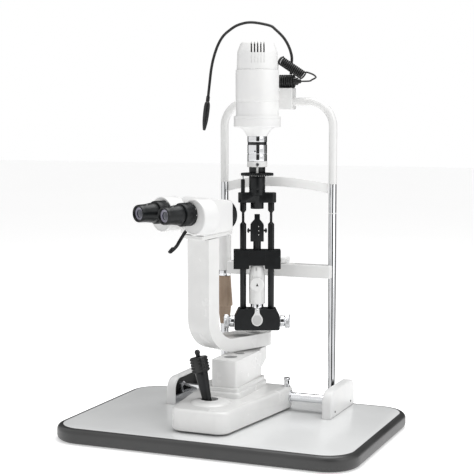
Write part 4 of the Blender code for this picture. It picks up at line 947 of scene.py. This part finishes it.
# %% Mirror head
head_outline = [
    (-0.0137, 0.3480, 0.001), (0.0137, 0.3480, 0.001), (0.0137, 0.3830, 0.005), (0.0056, 0.3932, 0.003),
    (0.0056, 0.4045, 0.0005), (-0.0056, 0.4045, 0.0005), (-0.0056, 0.3932, 0.003), (-0.0137, 0.3830, 0.005),
]
head = make("mirror_head_block", plate(head_outline, 0.020, 0.0008, arc=6), ANODISED, TOWER @ UPRIGHT)
slope_y, slope_h = -0.0022, 0.3988
normal = Vector((0.0, 1.0, 1.0)).normalized()
LEAN = Matrix.Rotation(math.radians(-45), 4, "X")
carve(
    head, plate(box_corners(-0.03, -0.03, 0.03, 0.03, 0), 0.030),
    TOWER @ Matrix.Translation(Vector((0, slope_y, slope_h)) + normal * 0.015) @ LEAN,
)
carve(head, rod(0.0080, 0.3050, 0.3500, 0.0004), TOWER, "UNION")
stands_for(head, "mirror_head")
seat = Vector((0, slope_y, slope_h)) + normal * 0.0009
glass = plate(box_corners(-0.0054, -0.0070, 0.0054, 0.0070, 0.0010), 0.0012, 0.0002)
stands_for(make("mirror_plate", glass, MIRROR, TOWER @ Matrix.Translation(seat) @ LEAN), "mirror_glass")
for side, name in ((-1, "left"), (1, "right")):
    screw = [
        (0.0, 0.0060), (0.0034, 0.0062), (0.0046, 0.0056), (0.0050, 0.0048), (0.0050, 0.0030),
        (0.0022, 0.0025), (0.0022, 0.0002), (0.0, 0.0002),
    ]
    across = Matrix.Rotation(side * math.pi / 2, 4, "Y")
    at = TOWER @ shift(side * 0.0137, -0.004, 0.3705) @ across
    sits_on(make(f"mirror_screw_{name}", turned(screw, 0.0002, 40), ANODISED, at), "mirror_head")
    sits_on(
        make(f"mirror_screw_tip_{name}", rod(0.0028, 0.0062, 0.0072, 0.0004, 32), CHROME, at),
        "mirror_head",
    )
for number in range(3):
    dot = make(
        f"mirror_head_dot_{number}", rod(0.0009, 0, 0.0003, 0, 16), MARK_WHITE,
        TOWER @ shift(0.0030, -0.0100, 0.3790 - 0.0085 * number) @ UPRIGHT,
    )
    sits_on(dot, "mirror_head")
print("mirror head", len(head.data.polygons), "faces")

# %% Light tube and its bridge
bridge = make(
    "light_tube_body", plate(box_corners(-0.0391, -0.0130, 0.0391, 0.0130, 0.009), 0.0205, 0.0010),
    ANODISED, TOWER @ shift(0, 0, 0.43835),
)
tube = [
    (0.0, 0.5008), (0.0166, 0.5008), (0.0166, 0.4890), (0.0150, 0.4890), (0.0150, 0.4828),
    (0.0166, 0.4828), (0.0166, 0.4560), (0.0161, 0.4556), (0.0161, 0.4546), (0.0166, 0.4542),
    (0.0166, 0.4440), (0.0135, 0.4430), (0.0135, 0.4154), (0.0108, 0.4154), (0.0108, 0.4214),
    (0.0, 0.4214),
]
carve(bridge, turned(tube), TOWER, "UNION")
pin = [(0.0, 0.4760), (0.0042, 0.4755), (0.0042, 0.4400), (0.0, 0.4400)]
carve(bridge, turned(pin), TOWER @ shift(-0.0293, 0, 0), "UNION")
stands_for(bridge, "light_tube")
sits_on(
    make("aperture_pin", rod(0.0016, 0.4758, 0.4822, 0.0003), CHROME, TOWER @ shift(-0.0293, 0, 0)),
    "light_tube",
)
slot = plate(box_corners(-0.0022, 0.4895, 0.0022, 0.5006, 0.0003), 0.0012)
sits_on(
    make("light_tube_mark", slot, MARK_WHITE, TOWER @ shift(0, -0.0164, 0) @ UPRIGHT), "light_tube",
)
print("light tube", len(bridge.data.polygons), "faces")

# %% Toothed aperture disc
TEETH = 48
disc = turned(
    [(0.0153, 0.0027), (0.0336, 0.0027), (0.0336, -0.0027), (0.0153, -0.0027)], 0.0004, TEETH * 4,
    ring=True,
)
for vert in disc.verts:
    if vert.co.xy.length > 0.0325:
        place = (math.atan2(vert.co.y, vert.co.x) / (2 * math.pi) * TEETH) % 1.0
        if place < 0.05 or place > 0.70:
            vert.co.xy *= 1 - 0.0010 / vert.co.xy.length
stands_for(make("aperture_disc_toothed", disc, ANODISED, TOWER @ shift(0, 0, 0.48595)), "aperture_disc")
marks = bmesh.new()
for number in range(TEETH):
    spot = Matrix.Rotation(
        2 * math.pi * (number + 0.375) / TEETH, 4, "Z",
    ) @ shift(0.0336, 0, -0.0018) @ Matrix.Diagonal((0.0003, 0.0006, 0.0006, 1))
    bmesh.ops.create_icosphere(marks, subdivisions=1, radius=1.0, matrix=spot)
sits_on(
    make("aperture_disc_marks", marks, MARK_WHITE, TOWER @ shift(0, 0, 0.48595)), "aperture_disc",
)
print(TEETH, "teeth")

# %% [markdown]
# ## The slit barrel and the lamp housing
#
# Above the disc a white knurled ring and a chrome scale barrel turn the slit. The lamp housing is one
# turned shape with a flared collar, and its cap has five cooling slots cut through on the examiner's side.

# %% Slit ring and scale barrel
ring = [
    (0.0, 0.5130), (0.0200, 0.5130), (0.0206, 0.5124), (0.0206, 0.5120), (0.0206, 0.5022),
    (0.0206, 0.5017), (0.0200, 0.5011), (0.0, 0.5011),
]
knurled = knurl(turned(ring, 0.0001, 144), 0.5021, 0.5121, 0.0204, 72, 0.0004)
stands_for(make("slit_turning_ring", knurled, ENAMEL, TOWER), "slit_ring")
screw = [(0, 0.0216), (0.0030, 0.0216), (0.0038, 0.0209), (0.0038, 0.0190), (0, 0.0190)]
sits_on(
    make("slit_ring_screw", turned(screw, 0.0002, 32), STEEL, TOWER @ shift(0, 0, 0.5066) @ UPRIGHT),
    "slit_ring",
)
barrel = [
    (0.0, 0.5638), (0.0201, 0.5638), (0.0201, 0.5525), (0.0190, 0.5525), (0.0190, 0.5463), (0.0201, 0.5463),
    (0.0201, 0.5290), (0.0195, 0.5286), (0.0195, 0.5270), (0.0201, 0.5266), (0.0201, 0.5133), (0.0, 0.5133),
]
stands_for(make("slit_scale_barrel", turned(barrel, 0.0002, 96), CHROME, TOWER), "scale_barrel")
band = [(0.0188, 0.5523), (0.0196, 0.5523), (0.0196, 0.5465), (0.0188, 0.5465)]
sits_on(
    make("scale_barrel_band", turned(band, 0.0002, 96, ring=True), BLACK_PLASTIC, TOWER), "scale_barrel",
)
dot = make(
    "scale_barrel_dot", rod(0.0016, 0.0199, 0.0205, 0.0002, 24), BLACK_PLASTIC,
    TOWER @ shift(0, 0, 0.5335) @ Matrix.Rotation(math.radians(-14), 4, "Z") @ UPRIGHT,
)
sits_on(dot, "scale_barrel")
print("scale barrel", 40.2, "mm across")

# %% Lamp housing
housing = [
    (0.0, 0.6985), (0.0434, 0.6985), (0.0442, 0.6977), (0.0442, 0.6392), (0.0436, 0.6385),
    (0.0436, 0.6345), (0.0430, 0.6341), (0.0430, 0.6333), (0.0436, 0.6329), (0.0436, 0.6053),
    (0.0476, 0.6053), (0.0481, 0.6047), (0.0481, 0.5999), (0.0474, 0.5994), (0.0481, 0.5989),
    (0.0481, 0.5842), (0.0474, 0.5830), (0.0460, 0.5826), (0.0380, 0.5820), (0.0335, 0.5805),
    (0.0300, 0.5780), (0.0268, 0.5745), (0.0240, 0.5705), (0.0221, 0.5670), (0.0211, 0.5641),
    (0.0, 0.5641),
]
lamp = make("lamp_housing_turned", turned(housing, 0.0003, 120), ABS, TOWER)
stands_for(lamp, "lamp_housing")
cap_profile = [
    (0.0, 0.7539), (0.0310, 0.7539), (0.0325, 0.7536), (0.0338, 0.7525), (0.0350, 0.7500),
    (0.0398, 0.7378), (0.0405, 0.7355), (0.0409, 0.7325), (0.0414, 0.7180), (0.0418, 0.7060),
    (0.0419, 0.7010), (0.0415, 0.6988), (0.0385, 0.6988), (0.0378, 0.7300), (0.0310, 0.7500),
    (0.0, 0.7505),
]
cap = make("lamp_cap_turned", turned(cap_profile, 0.0003, 120), ABS, TOWER)
for slot in range(-2, 3):
    x = 0.0063 * slot
    surface_y = -math.sqrt(0.0411**2 - x * x)
    carve(
        cap, plate(box_corners(-0.0014, 0.7325, 0.0014, 0.7600, 0), 0.020),
        TOWER @ shift(x, -0.0370, 0) @ UPRIGHT,
    )
    carve(
        cap, plate(box_corners(-0.0011, 0.7120, 0.0011, 0.7335, 0), 0.0016),
        TOWER @ shift(x, surface_y, 0) @ UPRIGHT,
    )
stands_for(cap, "lamp_cap")
# A black shell just inside the cap is painted shade, seen through the cooling slots.
cap_shade_profile = [(0.0, 0.7490), (0.0290, 0.7490), (0.0362, 0.7300), (0.0365, 0.6995), (0.0, 0.6995)]
sits_on(make("lamp_cap_painted_shade", turned(cap_shade_profile, 0, 48), BLACK_FILL_AND_PAINTED_SHADE, TOWER), "lamp_cap")
print("lamp cap", len(cap.data.polygons), "faces")

# %% [markdown]
# ## The head rest
#
# Two chromed poles hold a white tube bent into an arch, a forehead strap and the chin rest.
# The poles show how polished metal is read: not by its own colour, but by the bright and dark things
# that it reflects, so the studio needs some of each.

# %% Poles and arch
POLE_Y, POLE_TOP = 0.197, 0.463
POLES = {"left": -0.105, "right": 0.140}
for name, x in POLES.items():
    pole = [
        (0.0, POLE_TOP), (0.008, POLE_TOP), (0.008, 0.012), (0.0105, 0.011), (0.0150, 0.0045),
        (0.0150, 0.0003), (0.0, 0.0003),
    ]
    stands_for(make(f"pole_turned_{name}", turned(pole), CHROME, TABLE @ shift(x, POLE_Y, 0)), f"pole_{name}")
    mark = [(0.0079, 0.4034), (0.00815, 0.4034), (0.00815, 0.4018), (0.0079, 0.4018)]
    mark = make(
        f"eye_level_mark_{name}", turned(mark, 0, 48, ring=True), MARK_WHITE, TABLE @ shift(x, POLE_Y, 0),
    )
    sits_on(mark, f"pole_{name}")
BEND, ARCH_TOP = 0.052, 0.6345
arch_line = [Vector((POLES["left"], POLE_Y, POLE_TOP + 0.0003))]
for centre_x, first in ((POLES["left"] + BEND, 180), (POLES["right"] - BEND, 90)):
    for step in range(21):
        angle = math.radians(first - 90 * step / 20)
        arch_line.append(
            Vector((centre_x + BEND * math.cos(angle), POLE_Y, ARCH_TOP - BEND + BEND * math.sin(angle)))
        )
arch_line.append(Vector((POLES["right"], POLE_Y, POLE_TOP + 0.0003)))
arch = tube_along("arch_bent_tube", [TABLE @ p for p in arch_line], 0.0085, ENAMEL, 10)
stands_for(arch, "arch_tube")
print("arch", round(sum((b - a).length for a, b in zip(arch_line, arch_line[1:])), 3), "m of tube")

# %% [markdown]
# The forehead strap is a flexible band that bows towards the examiner. A flat grid is bent by moving its
# points on a parabola, then Solidify gives it a wall and Bevel rounds its edges.

# %% Forehead strap
left, right = POLES["left"] + 0.0102, POLES["right"] - 0.0102
strap = bmesh.new()
bmesh.ops.create_grid(strap, x_segments=48, y_segments=4, size=0.5)
for vert in strap.verts:
    t, across = 2 * vert.co.x, vert.co.y + 0.5
    curl = 0.0012 * (1 - (2 * across - 1) ** 2)
    vert.co = Vector(
        (
            left + (right - left) * (t + 1) / 2, POLE_Y - 0.030 * (1 - t * t) - curl,
            0.4440 + 0.014 * (1 - t * t) + 0.0205 * across,
        )
    )
strap = make("forehead_strap", strap, SATIN, TABLE)
wall = strap.modifiers.new("wall", "SOLIDIFY")
wall.thickness = 0.0032
wall.offset = 0.0
stands_for(round_off(strap, 0.0012), "forehead_band")
print("strap", round(right - left, 3), "m wide")

# %% Chin rest
BAR_LOW, BAR_HIGH = 0.2665, 0.2935
bar = plate(
    box_corners(POLES["left"] + 0.0131, POLE_Y - 0.020, POLES["right"] + 0.0025, POLE_Y + 0.006, 0.003),
    BAR_HIGH - BAR_LOW, 0.0018,
)
bar = make("chin_rest_bar", bar, ENAMEL, TABLE @ shift(0, 0, (BAR_LOW + BAR_HIGH) / 2))
carve(bar, rod(0.0139, 0.2720, 0.3475, 0.0012, 72), TABLE @ shift(POLES["left"], POLE_Y, 0), "UNION")
for x in POLES.values():
    carve(bar, rod(0.0083, 0.15, 0.45, 0), TABLE @ shift(x, POLE_Y, 0))
stands_for(bar, "chin_bar")
cup = plate(box_corners(-0.0270, -0.0180, 0.0270, 0.0180, 0.0150), 0.0130, 0.0035, arc=14, rim_steps=5)
middle_x = (POLES["left"] + POLES["right"]) / 2
cup = make("chin_rest_cup", cup, SATIN, TABLE @ shift(middle_x, POLE_Y - 0.003, BAR_HIGH + 0.0068))
dish = [
    (0.0, 0.0070), (0.0230, 0.0070), (0.0215, 0.0040), (0.0185, 0.0012), (0.0120, -0.0010),
    (0.0060, -0.0018), (0.0, -0.0020),
]
carve(cup, turned(dish, 0), TABLE @ shift(middle_x, POLE_Y + 0.002, BAR_HIGH + 0.0090))
stands_for(cup, "chin_cup")
papers = plate(box_corners(-0.040, -0.010, 0.040, 0.006, 0.003), 0.0008, 0.0002)
sits_on(
    make(
        "chin_paper_pad", papers, MARK_WHITE, TABLE @ shift(middle_x, POLE_Y - 0.004, BAR_HIGH + 0.00045),
    ),
    "chin_cup",
)
for number, x in enumerate((-0.030, 0.030)):
    pin = [(0, 0.0080), (0.0012, 0.0078), (0.0016, 0.0070), (0.0011, 0.0062), (0.0011, 0), (0, 0)]
    sits_on(
        make(
            f"chin_paper_pin_{number}", turned(pin, 0.0001, 24), CHROME,
            TABLE @ shift(middle_x + x, POLE_Y - 0.0175, BAR_HIGH),
        ),
        "chin_bar",
    )
print("chin bar", len(bar.data.polygons), "faces")

# %% [markdown]
# The brown grip under the chin rest is a nut that raises it. Its ribs run lengthwise, so the spun shape
# has every other column of points pushed in, the same way as a knurl.

# %% Chin-rest grip
GRIP = [
    (0.0128, 0.2595), (0.0131, 0.2560), (0.0140, 0.2400), (0.0149, 0.2270), (0.0158, 0.2150),
    (0.0166, 0.2040), (0.0170, 0.1970), (0.0168, 0.1940), (0.0140, 0.1925), (0.0136, 0.1880),
    (0.0126, 0.1780), (0.0112, 0.1650), (0.0100, 0.1552), (0.0083, 0.1547), (0.0083, 0.2595),
]
RIBS = 28
grip = turned(GRIP, 0.0002, RIBS * 4, ring=True)
for vert in grip.verts:
    if vert.co.xy.length > 0.0095:
        wave = math.cos(math.atan2(vert.co.y, vert.co.x) * RIBS)
        vert.co.xy *= 1 - 0.00045 * (1 - wave) / vert.co.xy.length
grip_at = TABLE @ shift(POLES["left"], POLE_Y, 0)
stands_for(make("chin_rest_grip", grip, PHENOLIC, grip_at), "chin_grip")
collar = [(0.0128, 0.2715), (0.0128, 0.2600), (0.0083, 0.2600), (0.0083, 0.2715)]
sits_on(make("chin_grip_collar", turned(collar, 0.0005, ring=True), CHROME, grip_at), "chin_grip")
print(RIBS, "ribs")

# %% [markdown]
# ## The fixation light
#
# The patient looks at a small light on a bendable gooseneck, which turns in a ribbed black knob that is
# clamped in a white bracket on the arch.

# %% Bracket, knob and light
FIX_X, FIX_H, KNOB_R, KNOB_L = 0.0365, 0.6770, 0.0140, 0.0340
bracket = plate(box_corners(-0.01625, -0.0225, 0.01625, 0.0225, 0.0025), 0.0270, 0.0020)
bracket = make("fixation_clamp", bracket, ENAMEL, TABLE @ shift(FIX_X, 0.1990, 0.6410) @ UPRIGHT)
carve(bracket, rod(0.0088, -0.05, 0.05, 0), TABLE @ shift(FIX_X, POLE_Y, ARCH_TOP) @ ALONG_X)
carve(bracket, rod(KNOB_R + 0.0003, -0.05, 0.05, 0), TABLE @ shift(FIX_X, POLE_Y, FIX_H) @ ALONG_X)
stands_for(bracket, "fixation_bracket")
nose = KNOB_L / 2 + 0.015
profile = [
    (0.0, nose), (0.0034, nose), (0.0042, nose - 0.0010), (0.0055, nose - 0.0065),
    (0.0078, nose - 0.0075), (0.0078, KNOB_L / 2), (KNOB_R - 0.0026, KNOB_L / 2),
]
GROOVES = 7
for groove in range(GROOVES):
    pitch = KNOB_L / GROOVES
    z = KNOB_L / 2 - groove * pitch
    profile += [
        (KNOB_R, z - 0.15 * pitch), (KNOB_R, z - 0.55 * pitch), (KNOB_R - 0.0026, z - 0.68 * pitch),
        (KNOB_R - 0.0026, z - 0.98 * pitch),
    ]
profile += [(0.0, -KNOB_L / 2 + 0.0002)]
FIXATION = TABLE @ shift(FIX_X, POLE_Y, FIX_H)
stands_for(make("fixation_ribbed_knob", turned(profile, 0.0002), RUBBER, FIXATION @ ALONG_X), "fixation_knob")
print("knob", GROOVES, "ribs")

# %% Gooseneck and lamp
GOOSENECK = [
    (0.0462, 0.197, 0.6914), (0.0466, 0.197, 0.7080), (0.0480, 0.197, 0.7270), (0.0425, 0.196, 0.7470),
    (0.0310, 0.195, 0.7670), (0.0130, 0.193, 0.7850), (-0.0010, 0.192, 0.7940), (-0.0400, 0.188, 0.8010),
    (-0.0690, 0.185, 0.7960), (-0.0890, 0.182, 0.7840), (-0.1020, 0.180, 0.7720), (-0.1120, 0.177, 0.7540),
    (-0.1200, 0.175, 0.7310), (-0.1250, 0.172, 0.7050), (-0.1285, 0.170, 0.6720), (-0.1305, 0.168, 0.6480),
    (-0.1318, 0.167, 0.6350),
]
neck_line = [TABLE @ p for p in smooth_line(GOOSENECK, 120)]
stands_for(tube_along("gooseneck_tube", neck_line, 0.0029, RUBBER), "gooseneck")
lean = Vector((0, 0, 1)).rotation_difference(neck_line[-2] - neck_line[-1]).to_matrix().to_4x4()
LAMP = Matrix.Translation(neck_line[-1]) @ lean
lamp = [
    (0.0, -0.0003), (0.0038, -0.0003), (0.0050, -0.0020), (0.0060, -0.0060), (0.0065, -0.0120),
    (0.0066, -0.0220), (0.0064, -0.0320), (0.0058, -0.0420), (0.0048, -0.0500), (0.0037, -0.0565),
    (0.0026, -0.0610), (0.0, -0.0620),
]
stands_for(make("fixation_lamp_head", turned(lamp, 0.0003, 48), BLACK_PLASTIC, LAMP), "fixation_lamp")
sits_on(make("fixation_lamp_collar", rod(0.0040, -0.0002, 0.0120, 0.0014, 40), RUBBER, LAMP), "gooseneck")
print("gooseneck", round(sum((b - a).length for a, b in zip(neck_line, neck_line[1:])), 3), "m")

# %% [markdown]
# ## The studio
#
# A white floor, a bright sky and large soft lights keep the shadows gentle. The right side is brighter
# than the left, which gives the white pieces their shape. A few black cards that only reflections see
# draw the dark lines down the chrome.

# %% Floor and lights
floor = bmesh.new()
bmesh.ops.create_grid(floor, x_segments=2, y_segments=2, size=12)
PAPER = surface(
    "white_studio_paper", ("#FDFDFD", "#FFFFFF"), (0.85, 0.90), 4.0, 0.004, drift_mm=900.0,
    Emission_Color=(1, 1, 1, 1), Emission_Strength=0.42,
)
floor = make("studio_floor", floor, PAPER, Matrix.Translation((0, 0, -0.0006)))
floor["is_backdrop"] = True
world = bpy.data.worlds.new("studio")
world.use_nodes = True
backdrop = world.node_tree.nodes["Background"]
backdrop.inputs["Color"].default_value = (1, 1, 1, 1)
backdrop.inputs["Strength"].default_value = 1.0
# what lights the object is dimmer than the backdrop that is seen, and that polished metal reflects
fill = add_node(world, "ShaderNodeBackground", {"Color": (1, 1, 1, 1), "Strength": 0.50})
path = add_node(world, "ShaderNodeLightPath", {})
seen = add_node(
    world, "ShaderNodeMath", {0: path.outputs["Is Camera Ray"], 1: path.outputs["Is Glossy Ray"]},
    operation="MAXIMUM",
)
mixed = add_node(
    world, "ShaderNodeMixShader", {0: seen.outputs[0], 1: fill.outputs[0], 2: backdrop.outputs[0]},
)
world.node_tree.links.new(mixed.outputs[0], world.node_tree.nodes["World Output"].inputs["Surface"])
bpy.context.scene.world = world
bpy.context.scene.view_settings.view_transform = "Standard"


def softbox(name, place, aim, size, power):
    data = bpy.data.lights.new(name, "AREA")
    data.shape = "RECTANGLE"
    data.size, data.size_y = size
    data.energy = power
    light = bpy.data.objects.new(name, data)
    light.location = place
    light.rotation_euler = (Vector(aim) - Vector(place)).to_track_quat("-Z", "Y").to_euler()
    bpy.context.scene.collection.objects.link(light)
    return light


softbox("key_right", (2.2, -0.6, 1.5), (0.0, 0.0, 0.35), (1.2, 1.6), 10)
softbox("top", (0.2, 0.3, 2.4), (0.0, 0.0, 0.3), (1.6, 1.6), 36)
print("lights set")


# %% Black cards
def black_card(name, azimuth, distance, width, low, high):
    """A card that only glossy rays see, standing at an azimuth measured from the examiner's side."""
    away = Matrix.Rotation(azimuth, 4, "Z")
    card = make(
        name, plate(box_corners(-width / 2, low, width / 2, high, 0), 0.002), BLACK_FILL_AND_PAINTED_SHADE,
        away @ shift(0, -distance, 0) @ UPRIGHT,
    )
    card.visible_camera = False
    card.visible_diffuse = False
    card.visible_shadow = False
    card.visible_transmission = False
    card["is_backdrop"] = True
    return card


for number, (degrees, width) in enumerate(((30, 1.1), (140, 1.4), (182, 1.4), (-131, 1.4))):
    black_card(f"black_card_{number}", math.radians(degrees), 1.6, width, 0.0, 2.2)
print("cards set")

low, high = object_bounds()
print("visual model", [round(v, 4) for v in high - low])
